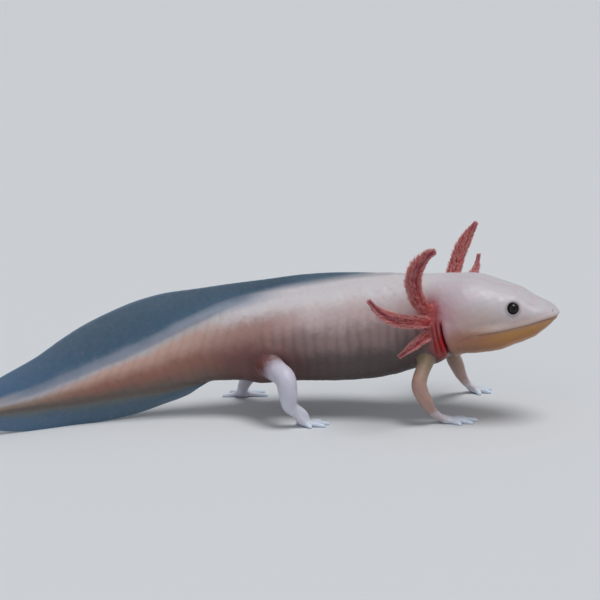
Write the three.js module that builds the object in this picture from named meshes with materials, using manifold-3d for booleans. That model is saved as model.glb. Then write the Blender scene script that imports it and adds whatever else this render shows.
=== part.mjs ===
// A life-size axolotl in mid stride, as closed solids in millimetres, +Z up.
// It walks along +X with its body bent like a C, open towards -Y. Its right side is -Y.
// Needs the npm packages three and manifold-3d.
import * as THREE from "three";
import { mergeVertices } from "three/addons/utils/BufferGeometryUtils.js";
import Module from "manifold-3d";

const wasm = await Module();
wasm.setup();

// ---- Driving dimensions, in millimetres and degrees ------------------------------------------
// Every length "along" is measured from the tip of the snout towards the tail, on the midline.
const BODY_LENGTH = 238;
const MID_TRUNK = 98; // the station that lies at x = 0, y = 0 while the body is built
const HEAD_YAW = 14; // the head turns this far towards -Y
const HEAD_END = 36; // behind here the neck starts to bend
const NECK_BEND = 52; // length over which the head's turn dies out
const TAIL_BEND_START = 90;
const TAIL_BEND_END = 233;
const TAIL_YAW = 42; // how far the tail has turned by then
const TAIL_BEND_POWER = 1.1;
const PLAN_STEP = 0.5; // step of the sum that draws the midline

const GAP = 0.3; // clearance between neighbouring pieces
const SNOUT_ROUND = 8.5; // length over which the snout rounds off, seen from above
const SNOUT_BLUNT = 5; // the same, seen from the side
const TAIL_ROUND = 5;

// Outlines of the body without its fins, as [along, value]. Heights are above the floor.
const HALF_WIDTH = [[0, 9.4], [6, 11.2], [15, 13.6], [25, 16.6], [35, 18.4], [42, 17.4], [49, 15.2],
  [58, 15], [78, 16.8], [94, 16.8], [108, 14.8], [120, 11.2], [132, 8.8], [154, 6], [178, 4],
  [202, 2.3], [220, 1.3], [238, 0.8]];
const TOP = [[0, 43.6], [4, 45.2], [10, 47.9], [17, 50.8], [26, 53], [34, 54.1], [44, 54.2],
  [54, 53.7], [64, 53], [76, 51.6], [90, 49.4], [104, 47], [116, 44.2], [130, 40.4], [142, 35.4],
  [154, 29.9], [166, 25], [178, 21.2], [190, 17.4], [202, 14.2], [216, 12], [238, 9.8]];
const BOTTOM = [[0, 38.6], [4, 36], [9, 32.2], [15, 29.6], [22, 27], [30, 25.6], [36, 24.8],
  [44, 21.6], [54, 17.8], [62, 15.2], [72, 13.5], [86, 12.7], [108, 12.8], [132, 13], [142, 12],
  [154, 10.5], [166, 9.8], [190, 8.7], [216, 9], [238, 8.6]];
const WIDEST = [[0, 41], [15, 39.8], [35, 38.4], [50, 35], [78, 30], [108, 27.5], [132, 25.4],
  [154, 19.6], [190, 12.8], [238, 9.2]];
const TOP_SQUARE = [[0, 2.2], [18, 2.5], [42, 2.5], [58, 2.1], [238, 2]]; // superellipse powers
const BELLY_SQUARE = [[0, 2.2], [38, 2.4], [78, 2.3], [128, 2.1], [238, 2]];

// Free edges of the fin along the back and tail, and of the one under the tail.
const FIN_TOP = [[48, 50], [55, 53.7], [64, 54.3], [83, 54.2], [96, 53.5], [112, 51.8], [136, 49],
  [148, 47.8], [156, 46.3], [164, 44.3], [178, 39.2], [190, 33.3], [201, 27.2], [214, 21.6],
  [226, 16.6], [234, 12.6], [238, 10]];
const FIN_BOTTOM = [[126, 14.5], [131, 13], [136, 10.6], [141, 7.6], [149, 4.8], [161, 1.6],
  [172, 0.3], [180, -0.3], [202, -0.3], [210, 0.5], [220, 2.8], [230, 5.8], [238, 8.8]];
const FIN_PAST_TAIL = 0.6; // the fins close this far behind the tip of the tail
const FIN_ROOT_DEPTH = 0.55; // their roots lie this share of the way out from the widest line
const FIN_ROOT_HALF = 1.3; // half thickness of a fin where it grows from the body
const FIN_EDGE_HALF = 0.4; // and at its free edge
const FIN_SQUARE = 0.3; // makes the fin's section a strip with rounded edges

// Places where the body and its fins are parted, along the midline.
const BODY_CUTS = [48, 57, 88, 124, 162, 200];
const BODY_NAMES = ["head", "neck", "trunk_front", "trunk_rear", "tail_base", "tail_middle", "tail_tip"];
const FIN_CUTS = [124, 178];

// The closed mouth's lip line, the corner of the jaw, and where the jaw ends underneath.
const MOUTH = [[-4, 41], [3, 40.4], [12, 38], [22, 35.8], [29, 34.6]];
const JAW_HINGE = [33, 33.4];
const THROAT = 39;

const EYE_ALONG = 15.8;
const EYE_HEIGHT = 44.4;
const EYE_RADIUS = 2.4;
const EYE_STANDS_OUT = 0.9; // how far the eyeball stands proud of the head

// Three feathery stalks on each side. The points run from inside the head out to the tip, widths
// are [share of length, half width], and normal faces the flat side.
const GILLS = [
  { name: "gill_right_upper", normal: [0.2, -1, 0.1],
    widths: [[0, 2], [0.25, 3], [0.65, 3.3], [0.9, 2.5], [1, 1.3]],
    points: [[52.6, -11, 39.4], [49.4, -17, 41.4], [44.4, -21.6, 46], [41.4, -26.6, 54],
      [42.1, -31, 60.8], [45, -33, 65.4], [48, -34, 67.6]] },
  { name: "gill_right_middle", normal: [0.2, -1, 0.1],
    widths: [[0, 2], [0.3, 2.8], [0.6, 2.8], [0.85, 2], [1, 0.8]],
    points: [[53, -11, 37.2], [50, -17, 38], [45, -22, 39.4], [38.4, -27, 40.6],
      [32.7, -31, 42.8], [28.2, -33, 45.8], [25, -34, 49.4]] },
  { name: "gill_right_lower", normal: [0.3, -1, 0.2],
    widths: [[0, 2], [0.35, 2.3], [0.7, 1.9], [1, 0.8]],
    points: [[53, -11, 34.6], [50, -16, 34.6], [46.4, -20, 33.3], [41.3, -23, 30.2], [37, -24, 27]] },
  { name: "gill_left_upper", normal: [0.3, 1, -0.2],
    widths: [[0, 2], [0.3, 3.1], [0.7, 2.9], [0.9, 2.1], [1, 1]],
    points: [[55, 5, 39.4], [57, 10, 42.4], [58.6, 15, 47.6], [60.6, 20, 53], [62.4, 23, 58],
      [65.2, 25, 63.3], [68.8, 27, 68.7]] },
  { name: "gill_left_middle", normal: [1, 0.2, -0.6],
    widths: [[0, 1.8], [0.35, 2.4], [0.7, 2.3], [1, 0.9]],
    points: [[55.6, 5.6, 37], [58.5, 11.5, 39], [62.4, 17.5, 42], [66.6, 24.6, 46.5],
      [69.6, 29.6, 50.5], [70.8, 32.6, 55]] },
  { name: "gill_left_lower", normal: [1, 0.2, 0.5],
    widths: [[0, 1.8], [0.35, 2.3], [0.7, 1.9], [1, 0.8]],
    points: [[55.6, 6, 34.4], [57.6, 12.6, 32.6], [58.2, 18, 29.9], [57.8, 24, 24.7], [55.8, 28, 19.7]] },
];
const GILL_FLAT = 0.42; // thickness of a stalk as a share of its width
const GILL_NOTCHES = 7;
const GILL_NOTCH_DEPTH = 0.14;

// Each limb runs from its root in the body over the elbow or knee and the wrist or ankle to the
// palm or sole. radii are [share of length, radius], and digits are the tips of its digits.
const LIMBS = [
  { names: ["upper_arm_right", "forearm_right", "hand_right"],
    radii: [[0, 2.9], [0.35, 2.7], [0.52, 2.9], [0.68, 2.6], [0.85, 1.9], [1, 1.9]],
    points: [[49.6, -9.5, 29], [46.8, -17.5, 23], [44.2, -22.4, 15.4], [47, -21.6, 9],
      [50.2, -19, 4], [54.4, -18, 1.7]],
    digits: [[60.2, -22.4], [65, -20], [66.8, -15.6], [62.6, -11.2]] },
  { names: ["upper_arm_left", "forearm_left", "hand_left"],
    radii: [[0, 2.9], [0.35, 2.8], [0.52, 2.9], [0.68, 2.5], [0.85, 1.9], [1, 1.9]],
    points: [[54, 6, 29], [58, 13.5, 21.5], [61.6, 20, 13.8], [63.8, 24.6, 8.6],
      [66.2, 27.4, 4.6], [69.6, 29.2, 1.7]],
    digits: [[71.6, 24], [76.6, 27.4], [77, 33], [71.8, 37.4]] },
  { names: ["thigh_right", "shank_right", "foot_right"],
    radii: [[0, 4.8], [0.4, 4.1], [0.56, 3.9], [0.72, 3.4], [0.88, 2.6], [1, 2.4]],
    points: [[-14, -5, 20], [-10.6, -16.4, 20.6], [-5.4, -25, 18.4], [-4.4, -26.4, 13.4],
      [-3.6, -25.2, 8], [1.6, -23.2, 4.4]],
    digits: [[-1.6, -19.4], [4.2, -27.4], [9.8, -25], [11.4, -20.6], [8.2, -16.2]] },
  { names: ["thigh_left", "shank_left", "foot_left"],
    radii: [[0, 4.4], [0.4, 3.7], [0.6, 3.1], [0.78, 2.6], [0.9, 2.1], [1, 2]],
    points: [[-14, 3, 20.4], [-15.6, 11, 17.4], [-18.6, 16.4, 12.6], [-21, 18, 8],
      [-22.6, 19, 4.2], [-22.8, 21.6, 1.7]],
    digits: [[-12.4, 22.6], [-13.8, 29.8], [-20.6, 33.6], [-28, 30], [-31, 21.6]] },
];
const MIDDLE_JOINT = 2; // the places in a limb's points at which it is parted
const END_JOINT = 4;
const PALM_RADII = [[0, 1.8], [0.6, 3], [1, 2.4]];
const PALM_FLAT = 0.55; // thickness of a palm or sole as a share of its width
const PALM_HEIGHT = 1.4;
const PALM_REACH = 0.42; // it runs this share of the way to the middle of its digits' tips
const KNUCKLE_SHARE = 0.35; // the digits grow from this share of the way along it
const KNUCKLE_HEIGHT = 1.2;
const DIGIT_RADII = [[0, 1.4], [0.45, 1.1], [0.85, 0.85], [1, 0.6]];
const DIGIT_FLAT = 0.9;
const DIGIT_ARCH = 0.2;
const DIGIT_TIP_HEIGHT = 0.3;

const COLOURS = {
  skin: 0xdcc8c2, jaw: 0xc9a070, tail: 0xb88f80, fin: 0x7d8c9a, gill: 0xa8383a, limb: 0xd9cdd0, eye: 0x101012,
};

// ---- Small mathematics ---------------------------------------------------------------------------
const { clamp, degToRad, lerp, smoothstep } = THREE.MathUtils;
const vector = (p) => new THREE.Vector3(...p);
const spread = (from, to, count) => Array.from({ length: count }, (_, i) => lerp(from, to, i / (count - 1)));
const signedPower = (v, p) => Math.sign(v) * Math.abs(v) ** p;

// The quarter-ellipse by which an end rounds off: 0 at the end, 1 beyond the given length.
const roundEnd = (distance, length) => Math.sqrt(Math.max(0, 1 - Math.max(0, 1 - distance / length) ** 2));

// A smooth curve through [place, value] pairs that makes no bumps of its own.
function outline(pairs) {
  const x = pairs.map((p) => p[0]);
  const y = pairs.map((p) => p[1]);
  const last = x.length - 1;
  const rise = x.slice(1).map((next, i) => (y[i + 1] - y[i]) / (next - x[i]));
  const slope = x.map((_, i) => {
    if (i === 0 || i === last) return rise[Math.min(i, last - 1)];
    const product = rise[i - 1] * rise[i];
    return product <= 0 ? 0 : (2 * product) / (rise[i - 1] + rise[i]);
  });
  return (place) => {
    const at = clamp(place, x[0], x[last]);
    const i = Math.min(x.findLastIndex((k) => k <= at), last - 1);
    const span = x[i + 1] - x[i];
    const t = (at - x[i]) / span;
    const bend = span * t * (1 - t) * (slope[i] * (1 - t) - slope[i + 1] * t);
    return lerp(y[i], y[i + 1], t * t * (3 - 2 * t)) + bend;
  };
}

const halfWidth = outline(HALF_WIDTH);
const top = outline(TOP);
const bottom = outline(BOTTOM);
const widest = outline(WIDEST);
const topSquare = outline(TOP_SQUARE);
const bellySquare = outline(BELLY_SQUARE);
const finTop = outline(FIN_TOP);
const finBottom = outline(FIN_BOTTOM);
const mouth = outline(MOUTH);

// ---- The midline, seen from above ------------------------------------------------------------------
// The direction in which the body points at a station, in radians towards -Y.
function heading(along) {
  const head = HEAD_YAW * (1 - smoothstep(along, HEAD_END, HEAD_END + NECK_BEND));
  const reach = Math.max(0, along - TAIL_BEND_START) / (TAIL_BEND_END - TAIL_BEND_START);
  return degToRad(head - TAIL_YAW * reach ** TAIL_BEND_POWER);
}

const plan = [new THREE.Vector2()];
for (let along = PLAN_STEP / 2; along < BODY_LENGTH + 1; along += PLAN_STEP) {
  const turn = heading(along);
  const step = new THREE.Vector2(-Math.cos(turn), Math.sin(turn)).multiplyScalar(PLAN_STEP);
  plan.push(plan.at(-1).clone().add(step));
}
const middle = plan[MID_TRUNK / PLAN_STEP].clone();
plan.forEach((p) => p.sub(middle));

// The point at this length along the body, this far to the animal's left, at this height.
function onBody(along, left, height) {
  const place = clamp(along, 0, BODY_LENGTH) / PLAN_STEP;
  const i = Math.min(Math.floor(place), plan.length - 2);
  const p = plan[i].clone().lerp(plan[i + 1], place - i);
  const turn = heading(along);
  return new THREE.Vector3(p.x + left * Math.sin(turn), p.y + left * Math.cos(turn), height);
}

// ---- Solids ------------------------------------------------------------------------------------------
function solidOf(geometry) {
  const bare = geometry.clone();
  bare.deleteAttribute("normal");
  bare.deleteAttribute("uv");
  const merged = mergeVertices(bare, 1e-4);
  const vertProperties = new Float32Array(merged.attributes.position.array);
  const faces = new Uint32Array(merged.index.array);
  const make = (triVerts) => new wasm.Manifold(new wasm.Mesh({ numProp: 3, vertProperties, triVerts }));
  const solid = make(faces);
  return solid.volume() > 0 ? solid : make(faces.reverse());
}

// A sphere whose rings are moved to the given stations, the first and last being its two poles.
// surface(station, angle) gives the place of each vertex.
function loft(stations, around, surface) {
  const geometry = new THREE.SphereGeometry(1, around, stations.length - 1);
  const position = geometry.getAttribute("position");
  for (let i = 0; i < position.count; i++) {
    const station = stations[Math.floor(i / (around + 1))];
    const step = (i % (around + 1)) % around;
    position.setXYZ(i, ...surface(station, (step / around) * 2 * Math.PI).toArray());
  }
  return solidOf(geometry);
}

// A tube along a curve through the points. radii is [share of length, radius], flat is its
// thickness towards "normal" as a share of its width, and its edges can be notched.
function tube({ points, radii, normal, flat = 1, around, steps, notches = 0, depth = 0 }) {
  const curve = new THREE.CatmullRomCurve3(points.map(vector), false, "centripetal");
  const length = curve.getLength();
  const radius = outline(radii);
  const face = vector(normal).normalize();
  const first = radius(0) / length;
  const last = radius(1) / length;
  const stations = [0, first / 4, ...spread(first, 1 - last, steps), 1 - last / 4, 1];
  return loft(stations, around, (share, angle) => {
    const forward = curve.getTangentAt(share);
    const side = forward.clone().cross(face).normalize();
    const out = side.clone().cross(forward);
    const size = radius(share) * roundEnd(share, first) * roundEnd(1 - share, last);
    const notch = 1 - (depth / 2) * (1 - Math.cos(2 * Math.PI * notches * share));
    return curve.getPointAt(share)
      .addScaledVector(side, size * notch * Math.cos(angle))
      .addScaledVector(out, size * flat * Math.sin(angle));
  });
}

const HALF_SPACE = 400;

// A box so large that it fills everything on the side of the plane that the normal points to.
function beyond(point, normal, start = 0) {
  const turn = new THREE.Quaternion().setFromUnitVectors(vector([0, 0, 1]), normal.clone().normalize());
  const box = new THREE.BoxGeometry(HALF_SPACE, HALF_SPACE, HALF_SPACE);
  box.translate(0, 0, HALF_SPACE / 2 + start);
  box.applyQuaternion(turn);
  box.translate(...point.toArray());
  return solidOf(box);
}

// The two sides of a solid that a thin cut parts: before the plane, then beyond it.
function partAt(solid, point, normal) {
  const before = beyond(point, normal.clone().negate(), GAP / 2);
  const after = beyond(point, normal, GAP / 2);
  return [solid.intersect(before), solid.intersect(after)];
}

// Parts a solid straight across the body: ahead of the station, then behind it.
function partAcross(solid, along) {
  const backwards = onBody(along, 0, 0).sub(onBody(along - 1, 0, 0));
  return partAt(solid, onBody(along, 0, 0), backwards);
}

const unite = (solids) => solids.reduce((a, b) => a.add(b));
const largest = (solid) => solid.decompose().reduce((a, b) => (a.volume() > b.volume() ? a : b));
const belowFloor = beyond(vector([0, 0, 0]), vector([0, 0, -1]));
const model = new THREE.Group();

function addNode(name, solid, colour, roughness) {
  const mesh = largest(solid).getMesh();
  const geometry = new THREE.BufferGeometry();
  geometry.setAttribute("position", new THREE.BufferAttribute(new Float32Array(mesh.vertProperties), 3));
  geometry.setIndex(new THREE.BufferAttribute(mesh.triVerts, 1));
  geometry.computeVertexNormals();
  const material = new THREE.MeshStandardMaterial({ color: COLOURS[colour], roughness, metalness: 0 });
  const node = new THREE.Mesh(geometry, material);
  node.name = name;
  model.add(node);
}

// ---- Head, trunk and the fleshy core of the tail ----------------------------------------------------
const BODY_STATIONS = [0, 0.5, 1.6, 3.6, 6.6, 10.5, ...spread(15, 55, 11), ...spread(62, 132, 9),
  ...spread(142, 222, 9), 231, 235.5, 237.4, BODY_LENGTH];

function bodyCore(grow) {
  return loft(BODY_STATIONS, 20, (along, angle) => {
    const tail = roundEnd(BODY_LENGTH - along, TAIL_ROUND);
    const across = roundEnd(along, SNOUT_ROUND) * tail;
    const upright = roundEnd(along, SNOUT_BLUNT) * tail;
    const more = across > 0 ? grow : 0;
    const rises = Math.sin(angle) > 0;
    const power = 2 / (rises ? topSquare(along) : bellySquare(along));
    const centre = widest(along);
    const reach = (rises ? top(along) - centre : centre - bottom(along)) * upright + more;
    const left = signedPower(Math.cos(angle), power) * (halfWidth(along) * across + more);
    return onBody(along, left, centre + signedPower(Math.sin(angle), power) * reach);
  });
}

const clearOfBody = bodyCore(GAP); // what the body's neighbours are cut by

function eyeball(side, radius) {
  const centre = widest(EYE_ALONG);
  const square = topSquare(EYE_ALONG);
  const rise = (EYE_HEIGHT - centre) / (top(EYE_ALONG) - centre);
  const skin = halfWidth(EYE_ALONG) * (1 - rise ** square) ** (1 / square);
  const place = onBody(EYE_ALONG, side * (skin + EYE_STANDS_OUT - EYE_RADIUS), EYE_HEIGHT);
  return solidOf(new THREE.SphereGeometry(radius, 12, 7).translate(...place.toArray()));
}

// All that lies under the lip line, as a slab wider than the head. It holds the lower jaw.
function jawRegion(grow) {
  const shape = new THREE.Shape();
  const lips = spread(MOUTH[0][0], MOUTH.at(-1)[0], 9);
  shape.moveTo(lips[0], 0);
  lips.forEach((along) => shape.lineTo(along, mouth(along) - GAP / 2 + grow));
  shape.lineTo(JAW_HINGE[0] + grow, JAW_HINGE[1] + grow);
  shape.lineTo(THROAT + grow, 0);
  const slab = new THREE.ExtrudeGeometry(shape, { depth: 80, bevelEnabled: false });
  slab.translate(0, 0, -40);
  slab.rotateX(Math.PI / 2);
  slab.rotateZ(Math.PI - degToRad(HEAD_YAW));
  slab.translate(plan[0].x, plan[0].y, 0);
  return solidOf(slab);
}

function addHead(solid) {
  const sockets = [1, -1].map((side) => eyeball(side, EYE_RADIUS + GAP));
  addNode("lower_jaw", solid.intersect(jawRegion(0)), "jaw", 0.45);
  addNode("head", solid.subtract(jawRegion(GAP)).subtract(unite(sockets)), "skin", 0.45);
  addNode("eye_left", eyeball(1, EYE_RADIUS), "eye", 0.1);
  addNode("eye_right", eyeball(-1, EYE_RADIUS), "eye", 0.1);
}

function addBody() {
  let rest = bodyCore(0);
  const pieces = BODY_CUTS.map((along) => {
    const [ahead, behind] = partAcross(rest, along);
    rest = behind;
    return ahead;
  });
  addHead(pieces[0]);
  [...pieces, rest].forEach((piece, i) => {
    if (i > 0) addNode(BODY_NAMES[i], piece, BODY_NAMES[i].startsWith("tail") ? "tail" : "skin", 0.45);
  });
}

// ---- Fins ------------------------------------------------------------------------------------------------
// A thin blade standing on the midline, from a root inside the body out to its free edge.
function finBlade(steps, start, bodyLine, edge) {
  const stations = spread(start, BODY_LENGTH + FIN_PAST_TAIL, steps);
  return loft(stations, 6, (along, angle) => {
    const root = lerp(widest(along), bodyLine(along), FIN_ROOT_DEPTH);
    const closed = along === stations[0] || along === stations.at(-1);
    const up = closed ? 0.5 : (1 + signedPower(Math.sin(angle), FIN_SQUARE)) / 2;
    const half = closed ? 0 : lerp(FIN_ROOT_HALF, FIN_EDGE_HALF, up);
    return onBody(along, signedPower(Math.cos(angle), FIN_SQUARE) * half, lerp(root, edge(along), up));
  });
}

function addFins() {
  const upper = finBlade(28, FIN_TOP[0][0], top, finTop).subtract(clearOfBody);
  const lower = finBlade(20, FIN_BOTTOM[0][0], bottom, finBottom).subtract(clearOfBody).subtract(belowFloor);
  const [dorsal, tailUpper] = partAcross(upper, FIN_CUTS[0]);
  const [upperFront, upperBack] = partAcross(tailUpper, FIN_CUTS[1]);
  const [lowerFront, lowerBack] = partAcross(lower, FIN_CUTS[1]);
  addNode("dorsal_fin", dorsal, "fin", 0.4);
  addNode("tail_fin_upper_front", upperFront, "fin", 0.4);
  addNode("tail_fin_upper_back", upperBack, "fin", 0.4);
  addNode("tail_fin_lower_front", lowerFront, "fin", 0.4);
  addNode("tail_fin_lower_back", lowerBack, "fin", 0.4);
}

// ---- Gills -----------------------------------------------------------------------------------------------
function addGills() {
  const notched = { flat: GILL_FLAT, steps: 16, notches: GILL_NOTCHES, depth: GILL_NOTCH_DEPTH };
  const taken = [clearOfBody];
  GILLS.forEach(({ name, points, widths, normal }) => {
    const stalk = tube({ points, radii: widths, normal, around: 6, ...notched });
    addNode(name, taken.reduce((solid, other) => solid.subtract(other), stalk), "gill", 0.55);
    const wider = widths.map(([share, half]) => [share, half + GAP]);
    taken.push(tube({ points, radii: wider, normal, around: 6, flat: GILL_FLAT * 1.3, steps: 8 }));
  });
}

// ---- Limbs -----------------------------------------------------------------------------------------------
// The flat palm or sole, with the digits that fan out from it.
function handOrFoot(wrist, palmAt, tips) {
  const fan = tips.reduce((a, b) => a.add(b), new THREE.Vector3()).divideScalar(tips.length);
  const palmEnd = palmAt.clone().lerp(fan, PALM_REACH).setZ(1);
  const route = [wrist, palmAt.clone().setZ(PALM_HEIGHT), palmEnd].map((p) => p.toArray());
  const lying = { normal: [0, 0, 1], steps: 3 };
  const palm = tube({ ...lying, points: route, radii: PALM_RADII, flat: PALM_FLAT, around: 8 });
  const knuckle = palmAt.clone().lerp(palmEnd, KNUCKLE_SHARE).setZ(KNUCKLE_HEIGHT);
  const digits = tips.map((tip) => {
    const bend = knuckle.clone().lerp(tip, 0.6).add(vector([0, 0, DIGIT_ARCH]));
    const points = [knuckle, bend, tip].map((p) => p.toArray());
    return tube({ ...lying, points, radii: DIGIT_RADII, flat: DIGIT_FLAT, around: 6 });
  });
  return unite([palm, ...digits]);
}

function addLimb({ names, points, radii, digits }) {
  const inward = -Math.sign(points[1][1]);
  const leg = tube({ points, radii, normal: [0.1, 0.9 * inward, -0.4], around: 8, steps: 11 });
  const tips = digits.map(([x, y]) => new THREE.Vector3(x, y, DIGIT_TIP_HEIGHT));
  const end = handOrFoot(vector(points.at(-2)), vector(points.at(-1)), tips);
  const whole = leg.add(end).subtract(clearOfBody).subtract(belowFloor);
  const partAtPoint = (solid, i) => {
    const onwards = vector(points[i + 1]).sub(vector(points[i - 1]));
    return partAt(solid, vector(points[i]), onwards);
  };
  const [upper, below] = partAtPoint(whole, MIDDLE_JOINT);
  const [lower, handOrSole] = partAtPoint(below, END_JOINT);
  [upper, lower, handOrSole].forEach((piece, i) => addNode(names[i], piece, "limb", 0.45));
}

addBody();
addFins();
addGills();
LIMBS.forEach(addLimb);

// The frame's origin is under the middle of the model's box, on the floor.
const box = new THREE.Box3().setFromObject(model);
const centre = box.getCenter(new THREE.Vector3());
model.position.set(-centre.x, -centre.y, -box.min.z);

export default model;
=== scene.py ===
"""A life-size pale axolotl in mid stride: one skin, two glossy eyes and the fringes of six gills.

The body's formulas work in millimetres, in the frame in which its midline passes through the
origin at mid trunk. to_frame() turns their points into metres in the row frame.
"""

import math
from functools import cached_property

import bmesh
import bpy
import numpy as np
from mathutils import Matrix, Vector


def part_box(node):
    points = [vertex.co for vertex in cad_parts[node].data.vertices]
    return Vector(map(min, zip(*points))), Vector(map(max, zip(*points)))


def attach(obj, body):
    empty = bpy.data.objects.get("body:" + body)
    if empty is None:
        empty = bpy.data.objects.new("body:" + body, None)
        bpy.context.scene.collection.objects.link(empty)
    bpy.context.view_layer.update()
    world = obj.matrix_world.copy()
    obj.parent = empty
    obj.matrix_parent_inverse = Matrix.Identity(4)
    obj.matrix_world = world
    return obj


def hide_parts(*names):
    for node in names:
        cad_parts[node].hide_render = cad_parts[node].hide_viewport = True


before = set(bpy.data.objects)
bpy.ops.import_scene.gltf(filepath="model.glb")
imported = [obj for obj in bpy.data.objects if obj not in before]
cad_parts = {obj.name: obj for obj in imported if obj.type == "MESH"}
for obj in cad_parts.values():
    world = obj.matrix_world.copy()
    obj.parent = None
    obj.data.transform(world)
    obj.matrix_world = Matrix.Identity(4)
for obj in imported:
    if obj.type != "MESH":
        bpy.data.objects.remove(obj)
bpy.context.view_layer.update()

MM = 0.001

# ---- Driving dimensions, in millimetres and degrees ----
# Every length "along" is measured from the tip of the snout towards the tail, on the midline.
BODY_LENGTH = 238
MID_TRUNK = 98
HEAD_YAW = 14
HEAD_END = 36
NECK_BEND = 52
TAIL_BEND_START = 90
TAIL_BEND_END = 233
TAIL_YAW = 42
TAIL_BEND_POWER = 1.1
PLAN_STEP = 0.5
PLAN_COARSE = 16  # every so many points are enough for a first guess of the nearest one
SNOUT_ROUND = 8.5
SNOUT_BLUNT = 5
TAIL_ROUND = 5

# Outlines of the body without its fins, as (along, value). Heights are above the floor.
HALF_WIDTH = [(0, 9.4), (6, 11.2), (15, 13.6), (25, 16.6), (35, 18.4), (42, 17.4), (49, 15.2),
              (58, 15), (78, 16.8), (94, 16.8), (108, 14.8), (120, 11.2), (132, 8.8), (154, 6),
              (178, 4), (202, 2.3), (220, 1.3), (238, 0.8)]
TOP = [(0, 43.6), (4, 45.2), (10, 47.9), (17, 50.8), (26, 53), (34, 54.1), (44, 54.2), (54, 53.7),
       (64, 53), (76, 51.6), (90, 49.4), (104, 47), (116, 44.2), (130, 40.4), (142, 35.4),
       (154, 29.9), (166, 25), (178, 21.2), (190, 17.4), (202, 14.2), (216, 12), (238, 9.8)]
BOTTOM = [(0, 38.6), (4, 36), (9, 32.2), (15, 29.6), (22, 27), (30, 25.6), (36, 24.8), (44, 21.6),
          (54, 17.8), (62, 15.2), (72, 13.5), (86, 12.7), (108, 12.8), (132, 13), (142, 12),
          (154, 10.5), (166, 9.8), (190, 8.7), (216, 9), (238, 8.6)]
WIDEST = [(0, 41), (15, 39.8), (35, 38.4), (50, 35), (78, 30), (108, 27.5), (132, 25.4),
          (154, 19.6), (190, 12.8), (238, 9.2)]
TOP_SQUARE = [(0, 2.2), (18, 2.5), (42, 2.5), (58, 2.1), (238, 2)]
BELLY_SQUARE = [(0, 2.2), (38, 2.4), (78, 2.3), (128, 2.1), (238, 2)]

# Free edges of the fin along the back and tail, and of the one under the tail.
FIN_TOP = [(48, 50), (55, 53.7), (64, 54.3), (83, 54.2), (96, 53.5), (112, 51.8), (136, 49),
           (148, 47.8), (156, 46.3), (164, 44.3), (178, 39.2), (190, 33.3), (201, 27.2),
           (214, 21.6), (226, 16.6), (234, 12.6), (238, 10)]
FIN_BOTTOM = [(126, 14.5), (131, 13), (136, 10.6), (141, 7.6), (149, 4.8), (161, 1.6), (172, 0.3),
              (180, -0.3), (202, -0.3), (210, 0.5), (220, 2.8), (230, 5.8), (238, 8.8)]
FIN_PAST_TAIL = 0.6
FIN_ROOT_DEPTH = 0.55
FIN_EDGE_HALF = 0.4
FIN_ROUNDING = 6  # the higher, the squarer its free edge
FIN_RIM = 0.15  # the free edges are trimmed by this much, which evens them
FIN_FLARE = 0.34  # a fin thickens to this share of its height where it leaves the body
FIN_FLARE_LIMIT = 0.42  # and at most to this share of the body's half width there

MOUTH = [(-4, 41), (3, 40.4), (12, 38), (22, 35.8), (29, 34.6)]
MOUTH_CORNER = 29.5

EYE_ALONG = 15.8
EYE_HEIGHT = 44.4
EYE_RADIUS = 2.4
EYE_STANDS_OUT = 0.9
EYE_TILT = 14  # the gaze is this many degrees above level
EYE_FORWARD = 12  # and this many degrees ahead of straight sideways

# Three stalks on each side, from inside the neck to the tip. widths are (share of length, half
# width with the fringe), normal faces the flat side, and shade is a painted shade: the higher it
# is, the darker the gill's red, so that the far-side gills look shaded.
GILLS = {
    "right_upper": dict(
        shade=0, normal=(0.2, -1, 0.1), widths=[(0, 2), (0.25, 3), (0.65, 3.3), (0.9, 2.5), (1, 1.3)],
        points=[(52.6, -11, 39.4), (49.4, -17, 41.4), (44.4, -21.6, 46), (41.4, -26.6, 54),
                (42.1, -31, 60.8), (45, -33, 65.4), (48, -34, 67.6)]),
    "right_middle": dict(
        shade=-0.3, normal=(0.2, -1, 0.1), widths=[(0, 2), (0.3, 2.8), (0.6, 2.8), (0.85, 2), (1, 0.8)],
        points=[(53, -11, 37.2), (50, -17, 38), (45, -22, 39.4), (38.4, -27, 40.6),
                (32.7, -31, 42.8), (28.2, -33, 45.8), (25, -34, 49.4)]),
    "right_lower": dict(
        shade=-0.3, normal=(0.3, -1, 0.2), widths=[(0, 2), (0.35, 2.3), (0.7, 1.9), (1, 0.8)],
        points=[(53, -11, 34.6), (50, -16, 34.6), (46.4, -20, 33.3), (41.3, -23, 30.2),
                (37, -24, 27)]),
    "left_upper": dict(
        shade=0.7, normal=(0.3, 1, -0.2), widths=[(0, 2), (0.3, 3.1), (0.7, 2.9), (0.9, 2.1), (1, 1)],
        points=[(55, 5, 39.4), (57, 10, 42.4), (58.6, 15, 47.6), (60.6, 20, 53), (62.4, 23, 58),
                (65.2, 25, 63.3), (68.8, 27, 68.7)]),
    "left_middle": dict(
        shade=0.3, normal=(1, 0.2, -0.6), widths=[(0, 1.8), (0.35, 2.4), (0.7, 2.3), (1, 0.9)],
        points=[(55.6, 5.6, 37), (58.5, 11.5, 39), (62.4, 17.5, 42), (66.6, 24.6, 46.5),
                (69.6, 29.6, 50.5), (70.8, 32.6, 55)]),
    "left_lower": dict(
        shade=0, normal=(1, 0.2, 0.5), widths=[(0, 1.8), (0.35, 2.3), (0.7, 1.9), (1, 0.8)],
        points=[(55.6, 6, 34.4), (57.6, 12.6, 32.6), (58.2, 18, 29.9), (57.8, 24, 24.7),
                (55.8, 28, 19.7)]),
}
# The stalk's half width as a share of the fringe's.
STALK_SHARE = [(0, 0.95), (0.25, 0.8), (0.5, 0.56), (0.9, 0.42), (1, 0.3)]
STALK_FLAT = 0.62

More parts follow.
